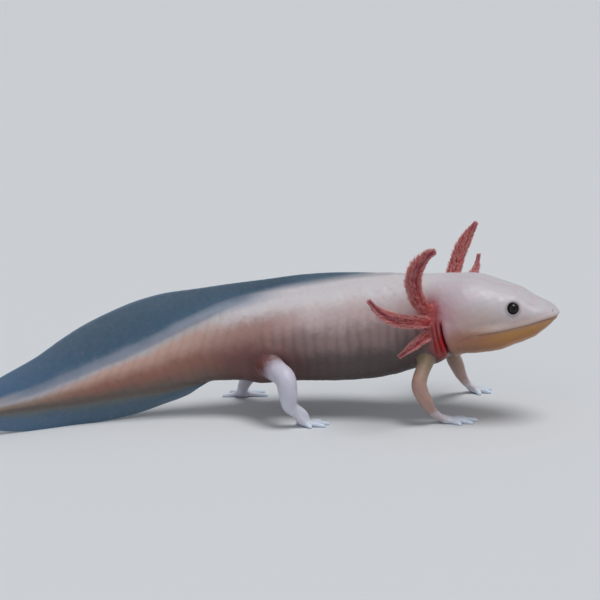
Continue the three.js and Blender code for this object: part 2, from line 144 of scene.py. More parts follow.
# Each limb runs from its root over the elbow or knee and the wrist or ankle to the palm or sole.
LIMBS = {
    "arm_right": dict(
        radii=[(0, 2.9), (0.35, 2.7), (0.52, 2.9), (0.68, 2.6), (0.85, 1.9), (1, 1.9)],
        points=[(49.6, -9.5, 29), (46.8, -17.5, 23), (44.2, -22.4, 15.4), (47, -21.6, 9),
                (50.2, -19, 4), (54.4, -18, 1.7)],
        digits=[(60.2, -22.4), (65, -20), (66.8, -15.6), (62.6, -11.2)]),
    "arm_left": dict(
        radii=[(0, 2.9), (0.35, 2.8), (0.52, 2.9), (0.68, 2.5), (0.85, 1.9), (1, 1.9)],
        points=[(54, 6, 29), (58, 13.5, 21.5), (61.6, 20, 13.8), (63.8, 24.6, 8.6),
                (66.2, 27.4, 4.6), (69.6, 29.2, 1.7)],
        digits=[(71.6, 24), (76.6, 27.4), (77, 33), (71.8, 37.4)]),
    "leg_right": dict(
        radii=[(0, 4.8), (0.4, 4.1), (0.56, 3.9), (0.72, 3.4), (0.88, 2.6), (1, 2.4)],
        points=[(-14, -5, 20), (-10.6, -16.4, 20.6), (-5.4, -25, 18.4), (-4.4, -26.4, 13.4),
                (-3.6, -25.2, 8), (1.6, -23.2, 4.4)],
        digits=[(-1.6, -19.4), (4.2, -27.4), (9.8, -25), (11.4, -20.6), (8.2, -16.2)]),
    "leg_left": dict(
        radii=[(0, 4.4), (0.4, 3.7), (0.6, 3.1), (0.78, 2.6), (0.9, 2.1), (1, 2)],
        points=[(-14, 3, 20.4), (-15.6, 11, 17.4), (-18.6, 16.4, 12.6), (-21, 18, 8),
                (-22.6, 19, 4.2), (-22.8, 21.6, 1.7)],
        digits=[(-12.4, 22.6), (-13.8, 29.8), (-20.6, 33.6), (-28, 30), (-31, 21.6)]),
}
PALM_RADII = [(0, 1.8), (0.6, 3), (1, 2.4)]
PALM_FLAT = 0.55
PALM_HEIGHT = 1.4
PALM_REACH = 0.42
PALM_END_HEIGHT = 1
KNUCKLE_SHARE = 0.35
KNUCKLE_HEIGHT = 1.2
DIGIT_RADII = [(0, 1.4), (0.45, 1.1), (0.85, 0.85), (1, 0.6)]
DIGIT_FLAT = 0.9
DIGIT_BEND = 0.6  # a digit is highest at this share of its length
DIGIT_ARCH = 0.2
DIGIT_TIP_HEIGHT = 0.3
INSTEP_SHARE = 0.6  # the leg tapers this far into the palm
INSTEP_HEIGHT = 1.3
INSTEP_RADIUS = 1.1

# How finely the parts are cut before they fuse: lengthwise, and round.
BODY_CUTS = (420, 168)
FIN_CUTS = (300, 96)
LIMB_CUTS = {"leg": (120, 40), "palm": (40, 40), "digit": (40, 40)}
STALK_CUTS = (100, 32)
CAP_CUTS = 8  # each rounded end of a tube
EYE_CUTS = (64, 72)
VOXEL = 0.36  # the skin's mesh size, halved round the features of the head


# ---- Small mathematics ----
def smooth(value, low, high):
    """0 at low and 1 at high, with an easy start and end. low may be the larger one."""
    t = np.clip((value - low) / (high - low), 0, 1)
    return t * t * (3 - 2 * t)


def between(value, start, full, fade, end):
    """1 from full to fade, easing to 0 at start before them and at end after them."""
    return smooth(value, start, full) * smooth(value, end, fade)


def bump(distance, width):
    """1 at no distance, fading like a bell over the width."""
    return np.exp(-((distance / width) ** 2))


def spot(across, up, centre, stretch, width):
    """A bell about a centre, measured in any two directions and stretched along them."""
    return bump(np.hypot((across - centre[0]) / stretch[0], (up - centre[1]) / stretch[1]), width)


def round_angles(count):
    """Angles evenly round a circle."""
    return np.linspace(0, 2 * math.pi, count, endpoint=False)


def signed_power(value, power):
    return np.sign(value) * np.abs(value) ** power


def round_end(distance, length):
    """The quarter ellipse by which an end rounds off: 0 at the end, 1 beyond the given length."""
    return np.sqrt(np.maximum(0, 1 - np.maximum(0, 1 - distance / length) ** 2))


def outline(pairs):
    """A smooth curve through (place, value) pairs that makes no bumps of its own."""
    x, y = np.array(pairs, float).T
    rise = np.diff(y) / np.diff(x)
    product = rise[:-1] * rise[1:]
    total = np.where(product > 0, rise[:-1] + rise[1:], 1)
    inner = np.where(product > 0, 2 * product / total, 0)
    slope = np.concatenate([rise[:1], inner, rise[-1:]])

    def curve(place):
        at = np.clip(place, x[0], x[-1])
        i = np.clip(np.searchsorted(x, at, side="right") - 1, 0, len(x) - 2)
        span = x[i + 1] - x[i]
        t = (at - x[i]) / span
        bend = span * t * (1 - t) * (slope[i] * (1 - t) - slope[i + 1] * t)
        return y[i] + (y[i + 1] - y[i]) * t * t * (3 - 2 * t) + bend

    return curve


def unit(vectors):
    return vectors / np.maximum(np.linalg.norm(vectors, axis=-1, keepdims=True), 1e-12)


half_width = outline(HALF_WIDTH)
top = outline(TOP)
bottom = outline(BOTTOM)
widest = outline(WIDEST)
top_square = outline(TOP_SQUARE)
belly_square = outline(BELLY_SQUARE)
fin_top = outline(FIN_TOP)
fin_bottom = outline(FIN_BOTTOM)
mouth = outline(MOUTH)
stalk_share = outline(STALK_SHARE)


# ---- The midline, seen from above ----
def heading(along):
    """The direction in which the body points at a station, in radians towards -Y."""
    head = HEAD_YAW * (1 - smooth(along, HEAD_END, HEAD_END + NECK_BEND))
    reach = np.maximum(0, along - TAIL_BEND_START) / (TAIL_BEND_END - TAIL_BEND_START)
    return np.radians(head - TAIL_YAW * reach**TAIL_BEND_POWER)


def midline():
    """The stations and the places of the midline's points."""
    along = np.arange(0, BODY_LENGTH + 1, PLAN_STEP)
    turn = heading(along[:-1] + PLAN_STEP / 2)
    steps = PLAN_STEP * np.stack([-np.cos(turn), np.sin(turn)], 1)
    places = np.vstack([np.zeros((1, 2)), np.cumsum(steps, 0)])
    return along, places - places[int(MID_TRUNK / PLAN_STEP)]


PLAN_ALONG, PLAN = midline()


def on_body(along, left, height):
    """The point at this length along the body, this far to the animal's left, at this height."""
    along, left, height = np.broadcast_arrays(along, left, height)
    x, y = (np.interp(along, PLAN_ALONG, PLAN[:, axis]) for axis in (0, 1))
    turn = heading(along)
    return np.stack([x + left * np.sin(turn), y + left * np.cos(turn), height], -1)


def to_body(points):
    """The length along the body of each point, and how far it is to the animal's left."""
    x, y = points[:, 0], points[:, 1]
    coarse = PLAN[::PLAN_COARSE]
    away = sum((points[:, None, axis] - coarse[None, :, axis]) ** 2 for axis in (0, 1))
    along = PLAN_ALONG[::PLAN_COARSE][np.argmin(away, 1)]
    for _ in range(4):
        base = np.clip(along, 0, BODY_LENGTH)
        turn = heading(base)
        from_x, from_y = (np.interp(base, PLAN_ALONG, PLAN[:, axis]) for axis in (0, 1))
        along = base - (x - from_x) * np.cos(turn) + (y - from_y) * np.sin(turn)
    return along, (x - from_x) * np.sin(turn) + (y - from_y) * np.cos(turn)


def eye_place(side):
    """The centre of the eyeball on this side, 1 being the animal's left."""
    square = top_square(EYE_ALONG)
    rise = (EYE_HEIGHT - widest(EYE_ALONG)) / (top(EYE_ALONG) - widest(EYE_ALONG))
    skin = half_width(EYE_ALONG) * (1 - rise**square) ** (1 / square)
    return on_body(EYE_ALONG, side * (skin + EYE_STANDS_OUT - EYE_RADIUS), EYE_HEIGHT)


def eye_axis(side):
    """The way in which the eye on this side looks."""
    turn = heading(EYE_ALONG)
    sideways = side * np.array([math.sin(turn), math.cos(turn), 0])
    ahead = np.array([math.cos(turn), -math.sin(turn), 0])
    level = sideways + ahead * math.tan(math.radians(EYE_FORWARD))
    return unit(unit(level) + np.array([0, 0, math.tan(math.radians(EYE_TILT))]))


eye_low, eye_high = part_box("eye_right")
SHIFT = np.array((eye_low + eye_high) / 2) - eye_place(-1) * MM


def to_frame(points):
    """Points of the formulas, in metres in the row frame."""
    return np.asarray(points) * MM + SHIFT


# ---- Closed surfaces as (vertices, faces) ----
def shell(rings):
    """A closed surface over rings of points, the first and last of which are closed by a fan."""
    count, around = rings.shape[:2]
    vertices = np.vstack([rings.reshape(-1, 3), rings[0].mean(0), rings[-1].mean(0)])
    first = np.arange(around)
    second = (first + 1) % around
    faces = []
    for ring in range(count - 1):
        here = ring * around
        there = here + around
        faces += np.stack([here + first, here + second, there + second, there + first], 1).tolist()
    start, end = count * around, count * around + 1
    last = (count - 1) * around
    faces += np.stack([second, first, np.full(around, start)], 1).tolist()
    faces += np.stack([last + first, last + second, np.full(around, end)], 1).tolist()
    return vertices, faces


def joined(parts):
    """Several surfaces as one."""
    vertices, faces, offset = [], [], 0
    for points, polygons in parts:
        vertices.append(points)
        faces += [[offset + corner for corner in polygon] for polygon in polygons]
        offset += len(points)
    return np.vstack(vertices), faces


class Route:
    """A centripetal Catmull-Rom curve through points, measured by share of its length."""

    SAMPLES = 60

    def __init__(self, points):
        points = np.array(points, float)
        padded = np.vstack([2 * points[0] - points[1], points, 2 * points[-1] - points[-2]])
        spans = np.linalg.norm(np.diff(padded, axis=0), axis=1) ** 0.5
        t = np.linspace(0, 1, self.SAMPLES, endpoint=False)[:, None]
        runs = []
        for i in range(len(points) - 1):
            before, a, b, after = padded[i:i + 4]
            first, middle, last = spans[i:i + 3]
            leave = (a - before) / first - (b - before) / (first + middle) + (b - a) / middle
            arrive = (b - a) / middle - (after - a) / (middle + last) + (after - b) / last
            leave, arrive = leave * middle, arrive * middle
            square, cube = -3 * a + 3 * b - 2 * leave - arrive, 2 * a - 2 * b + leave + arrive
            runs.append(a + leave * t + square * t**2 + cube * t**3)
        self.places = np.vstack([*runs, points[-1:]])
        lengths = np.linalg.norm(np.diff(self.places, axis=0), axis=1)
        self.length = lengths.sum()
        self.shares = np.concatenate([[0], np.cumsum(lengths)]) / self.length
        self.tangents = unit(np.gradient(self.places, self.shares, axis=0))

    def read(self, columns, share):
        return np.stack([np.interp(share, self.shares, column) for column in columns.T], -1)

    def at(self, share):
        return self.read(self.places, share)

    def forward(self, share):
        return unit(self.read(self.tangents, share))

    def frame(self, share, normal):
        """The curve's side and its outward direction, which is close to the normal."""
        forward = self.forward(share)
        side = unit(np.cross(forward, unit(np.array(normal, float))))
        return side, np.cross(side, forward)

    def nearest(self, points):
        """The distance of each point from the curve, and the share of its nearest place."""
        share = np.linspace(0, 1, 24)
        away = ((points[:, None, :] - self.at(share)[None]) ** 2).sum(2)
        share = share[np.argmin(away, 1)]
        for _ in range(3):
            ahead = ((points - self.at(share)) * self.forward(share)).sum(1)
            share = np.clip(share + ahead / self.length, 0, 1)
        return np.linalg.norm(points - self.at(share), axis=1), share


def rounds(side, out, around, flat=1):
    """The directions round each ring of a tube, from its side and outward directions."""
    angle = round_angles(around)
    upright = out[:, None] * (flat * np.sin(angle))[None, :, None]
    return side[:, None] * np.cos(angle)[None, :, None] + upright


def tube(route, radius, normal, flat, cuts):
    """A tube with rounded ends, flat being its thickness as a share of its width."""
    steps, around = cuts
    first = radius(0.0) / route.length
    last = radius(1.0) / route.length
    cap = 1 - np.cos(np.linspace(0, math.pi / 2, CAP_CUTS))
    middle = np.linspace(first, 1 - last, steps)[1:-1]
    share = np.concatenate([cap * first, middle, 1 - cap[::-1] * last])
    side, out = route.frame(share, normal)
    size = radius(share) * round_end(share, first) * round_end(1 - share, last)
    return shell(route.at(share)[:, None] + size[:, None, None] * rounds(side, out, around, flat))


# ---- The parts that fuse into the skin ----
def body_core():
    """The body without its fins, limbs and gills."""
    rings, around = BODY_CUTS
    along = BODY_LENGTH * (1 - np.cos(np.linspace(0, math.pi, rings))) / 2
    along, angle = np.meshgrid(along, round_angles(around), indexing="ij")
    tail = round_end(BODY_LENGTH - along, TAIL_ROUND)
    across = round_end(along, SNOUT_ROUND) * tail
    upright = round_end(along, SNOUT_BLUNT) * tail
    rises = np.sin(angle) > 0
    power = 2 / np.where(rises, top_square(along), belly_square(along))
    centre = widest(along)
    reach = np.where(rises, top(along) - centre, centre - bottom(along)) * upright
    left = signed_power(np.cos(angle), power) * half_width(along) * across
    return shell(on_body(along, left, centre + signed_power(np.sin(angle), power) * reach))


def fin_half(along, body_line, edge, height):
    """Half the thickness of a fin at this height."""
    span = np.maximum(np.abs(edge - body_line), 0.01)
    share = np.clip(np.abs(height - body_line) / span, 0, 1)
    inside = (height - body_line) * np.sign(edge - body_line) < 0
    flare = np.minimum(FIN_FLARE * span, FIN_FLARE_LIMIT * half_width(along))
    return FIN_EDGE_HALF + flare * np.where(inside, 1, (1 - share) ** 2.4)


def fin_blade(start, body_line, edge_line):
    """A thin blade standing on the midline, from a root inside the body to its free edge."""
    rings, around = FIN_CUTS
    along = np.linspace(start, BODY_LENGTH + FIN_PAST_TAIL, rings)
    along, angle = np.meshgrid(along, round_angles(around), indexing="ij")
    line, edge = body_line(along), edge_line(along)
    root = widest(along) + (line - widest(along)) * FIN_ROOT_DEPTH
    up = (1 + np.sin(angle)) / 2
    up[:: rings - 1, around // 4 :: around // 2] = 0.5  # the top and bottom of the two end rings
    height = root + (edge - root) * up
    rounded = np.minimum(1, np.abs(np.cos(angle)) * FIN_ROUNDING) ** 0.5
    half = fin_half(along, line, edge, height) * rounded
    half[0] = half[-1] = 0
    return shell(on_body(along, np.sign(np.cos(angle)) * half, height))


def limb_routes(limb):
    """The routes of a limb's leg, palm and digits, each with its radii, thickness and normal."""
    points, radii = limb["points"], limb["radii"]
    inward = -math.copysign(1, points[1][1])
    tips = [np.array([x, y, DIGIT_TIP_HEIGHT]) for x, y in limb["digits"]]
    wrist, palm = np.array(points[-2]), np.array(points[-1])
    palm_end = palm + (np.mean(tips, 0) - palm) * PALM_REACH
    palm_end[2] = PALM_END_HEIGHT
    palm_start = np.array([*palm[:2], PALM_HEIGHT])
    knuckle = palm + (palm_end - palm) * KNUCKLE_SHARE
    knuckle[2] = KNUCKLE_HEIGHT
    arch = np.array([0, 0, DIGIT_ARCH])
    lying = (0, 0, 1)
    instep = palm + (palm_end - palm) * INSTEP_SHARE
    instep[2] = INSTEP_HEIGHT
    leg = Route([*points, instep])
    to_palm = Route(points).length / leg.length
    radii = [(share * to_palm, radius) for share, radius in radii[:-1]] + [(1, INSTEP_RADIUS)]
    palm_route = Route([wrist, palm_start, palm_end])
    routes = [("leg", leg, outline(radii), 1, (0.1, 0.9 * inward, -0.4)),
              ("palm", palm_route, outline(PALM_RADII), PALM_FLAT, lying)]
    for tip in tips:
        route = Route([knuckle, knuckle + (tip - knuckle) * DIGIT_BEND + arch, tip])
        routes.append(("digit", route, outline(DIGIT_RADII), DIGIT_FLAT, lying))
    return routes


def stalk_radius(widths):
    half = outline(widths)
    return lambda share: half(share) * stalk_share(share)


GILL_ROUTES = {name: Route(gill["points"]) for name, gill in GILLS.items()}
LIMB_ROUTES = {name: limb_routes(limb) for name, limb in LIMBS.items()}


def skin_parts():
    parts = [body_core(), fin_blade(FIN_TOP[0][0], top, fin_top),
             fin_blade(FIN_BOTTOM[0][0], bottom, fin_bottom)]
    for routes in LIMB_ROUTES.values():
        for kind, route, radius, flat, normal in routes:
            parts.append(tube(route, radius, normal, flat, LIMB_CUTS[kind]))
    for name, gill in GILLS.items():
        radius = stalk_radius(gill["widths"])
        parts.append(tube(GILL_ROUTES[name], radius, gill["normal"], STALK_FLAT, STALK_CUTS))
    return parts


# ---- Working on a mesh as arrays ----
def placed(name, data):
    """A new object in the scene that shows a mesh, a lamp or a camera."""
    thing = bpy.data.objects.new(name, data)
    bpy.context.scene.collection.objects.link(thing)
    return thing


def new_object(name, vertices, faces):
    mesh = bpy.data.meshes.new(name)
    mesh.from_pydata(np.asarray(vertices).tolist(), [], faces)
    mesh.update()
    return placed(name, mesh)


def read(items, name, kind, width=1):
    """One value or vector of each vertex, edge, face or corner as an array."""
    found = np.empty(len(items) * width, kind)
    items.foreach_get(name, found)
    return found.reshape(-1, width) if width > 1 else found


def vertices_of(mesh):
    return read(mesh.vertices, "co", float, 3)


def set_vertices(mesh, vertices):
    mesh.vertices.foreach_set("co", np.ascontiguousarray(vertices, float).ravel())
    mesh.update()


def normals_of(mesh):
    mesh.update()
    return read(mesh.vertex_normals, "vector", np.float32, 3).astype(float)


def edges_of(mesh):
    return read(mesh.edges, "vertices", np.int32, 2)


def shade_smooth(mesh):
    mesh.polygons.foreach_set("use_smooth", np.ones(len(mesh.polygons), bool))


def set_measure(mesh, name, values):
    """Gives each vertex a number that the materials can read."""
    measure = mesh.attributes.new(name, "FLOAT", "POINT")
    measure.data.foreach_set("value", np.asarray(values, np.float32))


def neighbour_mean(values, edges):
    """The mean over each vertex's neighbours of a value or vector."""
    count = len(values)
    ends = np.concatenate([edges[:, 0], edges[:, 1]])
    others = np.concatenate([edges[:, 1], edges[:, 0]])
    share = np.maximum(np.bincount(ends, minlength=count), 1)
    columns = values.reshape(count, -1).T
    mean = np.stack([np.bincount(ends, column[others], count) / share for column in columns], 1)
    return mean.reshape(values.shape)


EVEN_OUT = (0.5, -0.52)  # the second, opposite step keeps a surface from shrinking
SETTLE = (0.5,)  # rounds hollow corners


def smoothed(vertices, edges, steps, weight=None):
    """Moves the vertices by each step's share of the way to their neighbours' mean."""
    if weight is None:
        weight = np.ones(len(vertices))
    moving = weight > 0.001
    near = edges[moving[edges[:, 0]] | moving[edges[:, 1]]]
    used, local = np.unique(near, return_inverse=True)
    local = local.reshape(-1, 2)
    part, weight = vertices[used], weight[used][:, None]
    for step in steps:
        part = part + step * weight * (neighbour_mean(part, local) - part)
    vertices = vertices.copy()
    vertices[used] = part
    return vertices


def fused(parts):
    """The outer surface of all the parts as one even mesh."""
    thing = new_object("skin", *joined(parts))
    remesh = thing.modifiers.new("fuse", "REMESH")
    remesh.mode = "VOXEL"
    remesh.voxel_size = VOXEL
    evaluated = thing.evaluated_get(bpy.context.evaluated_depsgraph_get())
    mesh = bpy.data.meshes.new_from_object(evaluated)
    thing.modifiers.clear()
    thing.data = mesh
    return thing


def refine(thing, chosen):
    """Halves the edges both of whose ends are chosen."""
    mesh = bmesh.new()
    mesh.from_mesh(thing.data)
    mesh.verts.ensure_lookup_table()
    edges = [edge for edge in mesh.edges if all(chosen[vertex.index] for vertex in edge.verts)]
    bmesh.ops.subdivide_edges(mesh, edges=edges, cuts=1, use_grid_fill=True, smooth=0.6)
    bmesh.ops.triangulate(mesh, faces=[face for face in mesh.faces if len(face.verts) > 4])
    mesh.to_mesh(thing.data)
    mesh.free()


# ---- Where a point of the skin lies ----
def shown_apart(name, count):
    """A property for each of the values that another one holds together."""
    return [property(lambda self, k=k: getattr(self, name)[k]) for k in range(count)]


class Places:
    """Where each vertex of the skin lies on the body, its limbs and its gills."""

    def __init__(self, points):
        self.points = points
        self.height = points[:, 2]
        self.along, self.left = to_body(points)
        self.top, self.bottom = top(self.along), bottom(self.along)
        self.rise = np.clip((self.height - self.bottom) / (self.top - self.bottom), 0, 1)
        self.off_body = self.outside_body()

    def near_core(self, gone, full):
        """1 on the body's core, fading where limbs, gills and fins stand this far out of it."""
        return smooth(self.off_body, gone, full)

    def outside_body(self):
        """About how far outside the body's core each point is, in millimetres."""
        centre = widest(self.along)
        over = self.height - centre
        reach = np.where(over > 0, self.top - centre, centre - self.bottom)
        square = np.where(over > 0, top_square(self.along), belly_square(self.along))
        across = np.abs(self.left) / half_width(self.along)
        ratio = (across**square + (np.abs(over) / reach) ** square) ** (1 / square)
        away = np.hypot(self.left, over) * (1 - 1 / np.maximum(ratio, 0.2))
        return np.where(self.along < SNOUT_ROUND, 0, away)

    def close_to(self, route, radius, margin):
        """The indices of the points near a tube, how far outside it they are, and their share."""
        size = np.max(radius(np.linspace(0, 1, 20))) + margin
        low, high = route.places.min(0) - size, route.places.max(0) + size
        near = np.flatnonzero(((self.points > low) & (self.points < high)).all(1))
        away, share = route.nearest(self.points[near])
        return near, away - radius(share), share

    @cached_property
    def on_limbs(self):
        """How much each point belongs to a limb, its shares of the leg's and a digit's length, and
        how far outside a limb it is."""
        gap = np.full(len(self.points), 9.0)
        leg_share = np.zeros(len(self.points))
        digit = np.zeros(len(self.points))
        for routes in LIMB_ROUTES.values():
            for kind, route, radius, _, _ in routes:
                near, away, share = self.close_to(route, radius, 6)
                gap[near] = np.minimum(gap[near], away)
                reached = {"leg": share, "palm": 0.8 + 0.2 * share, "digit": 1 + 0 * share}[kind]
                leg_share[near] = np.maximum(leg_share[near], reached * smooth(away, 2.5, 0.5))
                if kind == "digit":
                    digit[near] = np.maximum(digit[near], share * smooth(away, 1.2, 0.2))
        return smooth(gap, 2.2, 0.4) * smooth(self.off_body, -0.3, 1.8), leg_share, digit, gap

    @cached_property
    def on_stalks(self):
        """How much each point belongs to a stalk, its share of that, and how near the root is."""
        mask = np.zeros(len(self.points))
        place = np.zeros(len(self.points))
        root = np.zeros(len(self.points))
        for name, gill in GILLS.items():
            near, away, share = self.close_to(GILL_ROUTES[name], stalk_radius(gill["widths"]), 7)
            here = smooth(away, 1.6, 0.3)
            place[near] = np.where(here > mask[near], share, place[near])
            mask[near] = np.maximum(mask[near], here)
            near_root = bump(np.maximum(away, 0), 2.6) * smooth(share, 0.42, 0.2)
            root[near] = np.maximum(root[near], near_root)
        return mask * smooth(self.off_body, -0.6, 1.2), place, root

    @cached_property
    def on_fins(self):
        """How much each point belongs to a fin, and how far out on it the point is."""
        over, under = self.height - self.top, self.bottom - self.height
        upper = smooth(over, -0.4, 3.4) * (self.along > FIN_TOP[0][0] + 2)
        upper = upper * (1 - self.stalk) * (np.abs(self.left) < 8)
        lower = smooth(under, -0.4, 2.6) * (self.along > FIN_BOTTOM[0][0]) * (1 - self.limb)
        span_up = np.maximum(fin_top(self.along) - self.top, 1)
        span_down = np.maximum(self.bottom - fin_bottom(self.along), 1)
        share = np.clip(np.where(over > 0, over / span_up, under / span_down), 0, 1)
        return np.maximum(upper, lower), share

    limb, leg_share, digit, limb_gap = shown_apart("on_limbs", 4)
    stalk, stalk_share, stalk_root = shown_apart("on_stalks", 3)
    fin, fin_share = shown_apart("on_fins", 2)


# ---- The finer shape of the skin ----
def ripple(points, length, seed, count=10):
    """A gentle random swell between -1 and 1, of about this wavelength."""
    random = np.random.default_rng(seed)
    total = np.zeros(len(points))
    for _ in range(count):
        direction = unit(random.normal(size=3))
        scale = length * random.uniform(0.7, 1.5)
        total += np.sin(points @ direction * 2 * math.pi / scale + random.uniform(0, 6.28))
    return total / math.sqrt(count) / 1.6


COSTAL_FIRST, COSTAL_LAST, COSTAL_GROOVES = 55, 113, 15
TAIL_GROOVE_STEP = 4.6


def costal_line(places):
    """How close a point is to one of the grooves between the ribs, from 0 to 1."""
    lean = 6.4 * (places.rise - 0.5) ** 2 + 0.9 * ripple(places.points, 14, 3)
    step = (COSTAL_LAST - COSTAL_FIRST) / (COSTAL_GROOVES - 1)
    turn = (places.along - COSTAL_FIRST + lean) / step
    near = np.abs(turn - np.round(turn)) * step
    inside = between(places.along, COSTAL_FIRST - 3, COSTAL_FIRST, COSTAL_LAST, COSTAL_LAST + 4)
    flank = between(places.rise, 0.02, 0.2, 0.45, 0.85)
    uneven = 0.65 + 0.35 * ripple(places.points, 16, 4)
    return bump(near, 0.95) * inside * flank * uneven * places.near_core(1.6, 0.5)


def tail_line(places):
    """The same for the chevrons between the muscles of the tail."""
    middle = np.abs(places.rise - 0.5) * 2
    turn = (places.along + 5 * middle) / TAIL_GROOVE_STEP
    near = np.abs(turn - np.round(turn)) * TAIL_GROOVE_STEP
    return bump(near, 0.7) * between(places.along, 120, 128, 200, 220) * places.near_core(1.4, 0.4)


GULAR_LOW, GULAR_SWEEP = 38.2, 3  # the fold's edge at the throat, and how far it sweeps back
FIRST_SLIT, SLIT_STEP = 0.7, 2.1


def gular_distance(places):
    """How far behind the free edge of the skin fold across the throat each point is."""
    return places.along - (GULAR_LOW + GULAR_SWEEP * smooth(places.height, 24, 40))


def gill_slits(places):
    """How deep in one of the dark slits under the gills each point is, from 0 to 1."""
    behind = gular_distance(places)
    side = smooth(np.abs(places.left), 8, 12) * between(places.height, 25, 28, 37, 40)
    total = sum(bump(behind - FIRST_SLIT - SLIT_STEP * k, 0.42) * (1 - 0.22 * k) for k in range(3))
    return np.clip(total * side, 0, 1) * places.near_core(2.4, 1.2)


def mouth_distance(places):
    """The height over the lip line."""
    return places.height - mouth(places.along)


def mouth_strength(places):
    return smooth(places.along, MOUTH_CORNER, MOUTH_CORNER - 3) * places.near_core(2.5, 1.5)


NOSTRILS = [(1.5, side * 4.3, 43.0) for side in (1, -1)]


def nostril_distance(places, nostril):
    nearest = np.argmin(np.linalg.norm(places.points - on_body(*nostril), axis=1))
    return np.linalg.norm(places.points - places.points[nearest], axis=1)


def eye_polar(points, side):
    """Each point's distance in front of the eyeball's centre, and its distance from the axis."""
    offset = points - eye_place(side)
    ahead = offset @ eye_axis(side)
    return ahead, np.linalg.norm(offset - ahead[:, None] * eye_axis(side), axis=1)


def head_swell(places):
    """Muscles and hollows of the head, outwards in millimetres."""
    along, left, height = places.along, np.abs(places.left), places.height
    upper = smooth(height, widest(along) + 1, widest(along) + 7)
    throat = smooth(height, mouth(along) - 1, mouth(along) - 6)
    jaw_muscle = 0.75 * spot(along, left, (30, 9), (1.3, 1), 6.5)
    furrow = -0.5 * bump(left, 2.2) * between(along, 12, 22, 46, 58)
    snout = -0.35 * spot(along, left, (8.5, 6.5), (1, 1), 3.6)
    brow = 0.55 * spot(along, height, (EYE_ALONG, EYE_HEIGHT + 1.5), (1, 1), 4.2)
    hyoid = 0.3 * spot(along, left, (24, 6), (1.8, 1), 4)
    swell = (jaw_muscle + furrow + snout) * upper + brow + hyoid * throat
    return swell * smooth(along, 64, 50)


def mouth_shape(places):
    """The lips, the groove between them and the upper lip's hanging rear part."""
    over = mouth_distance(places)
    lip = 0.28 * bump(over - 0.95, 0.75) + 0.16 * bump(over + 1.1, 0.7)
    groove = -0.5 * bump(over, 0.32)
    below = -0.3 * between(over, -5, -1, -0.4, 0.1)
    hanging = (0.42 * bump(over - 1.3, 1.1) - 0.2 * bump(over - 3.6, 1.0)) * places.near_core(2.5, 1.5)
    hanging = hanging * between(places.along, 13, 20, 28, 34)
    return (lip + groove + below) * mouth_strength(places) + hanging


THROAT_WRINKLE = 1.7  # millimetres from one wrinkle to the next


def throat_folds(places):
    """The crease from the corner of the mouth towards the throat, and the throat's wrinkles."""
    behind_corner = places.along - MOUTH_CORNER
    line = mouth(MOUTH_CORNER) + 0.2 - 0.42 * behind_corner - 0.03 * behind_corner**2
    reach = between(behind_corner, -2, 0.5, 4.5, 8)
    over = places.height - line
    crease = (-0.34 * bump(over, 0.45) + 0.16 * bump(over - 1.2, 0.8)) * reach
    behind = gular_distance(places)
    wrinkles = np.sin(2 * math.pi * (behind + 0.5 * ripple(places.points, 7, 7)) / THROAT_WRINKLE)
    low = smooth(places.rise, 0.3, 0.15) * between(behind, -9, -3, -0.8, 0.2)
    return (crease + 0.09 * wrinkles * low) * places.near_core(2.5, 1.5) * (1 - places.limb)


def neck_folds(places):
    """Loose skin behind the gills, between them and the shoulder."""
    behind = places.along - 50.5 - 1.6 * smooth(places.rise, 0.3, 0.8)
    low = between(places.rise, 0.12, 0.3, 0.6, 0.82)
    folds = -0.3 * bump(behind, 0.8) + 0.2 * bump(behind - 1.8, 1.2)
    return folds * low * places.near_core(2, 0.6) * (1 - places.limb) * (1 - places.stalk)


def fold_shape(places):
    """The fold across the throat, the crease behind it and the gill slits."""
    behind = gular_distance(places)
    low = smooth(places.height, 41, 37)
    ridge = 0.75 * bump(behind + 1.3, 1.5) * low
    step = -0.85 * bump(behind - FIRST_SLIT, 0.62) * low
    slits = -0.7 * gill_slits(places)
    return (ridge + step + slits) * places.near_core(2.5, 1.2) * (1 - places.limb)


def eye_socket(places, normals, vertices):
    """Sinks the skin under the eyeball and raises a soft ring round it."""
    for side in (1, -1):
        ahead, away = eye_polar(places.points, side)
        here = ahead > -1.5
        ring = 0.2 * bump(away - 2.5, 0.4) - 0.1 * bump(away - 3.5, 0.6)
        vertices = vertices + normals * (ring * here)[:, None]
        depth = np.sqrt(np.maximum(0, EYE_RADIUS**2 - away**2)) - 0.55
        sink = smooth(away, 2.3, 1.85) * here
        axis = eye_axis(side)
        now = (vertices - eye_place(side)) @ axis
        vertices = vertices + axis * (sink * (depth - now))[:, None]
    return vertices


def limb_shape(places):
    """Loose skin at the elbows and knees, and joints in the digits."""
    creases = sum(bump(places.leg_share - at, 0.016) for at in (0.40, 0.45, 0.76))
    knuckles = sum(bump(places.digit - at, 0.04) for at in (0.5, 0.74))
    uneven = 0.6 + 0.4 * ripple(places.points, 6, 6)
    return -0.07 * (creases + knuckles) * places.limb * uneven


FIN_THINNING = 0.38


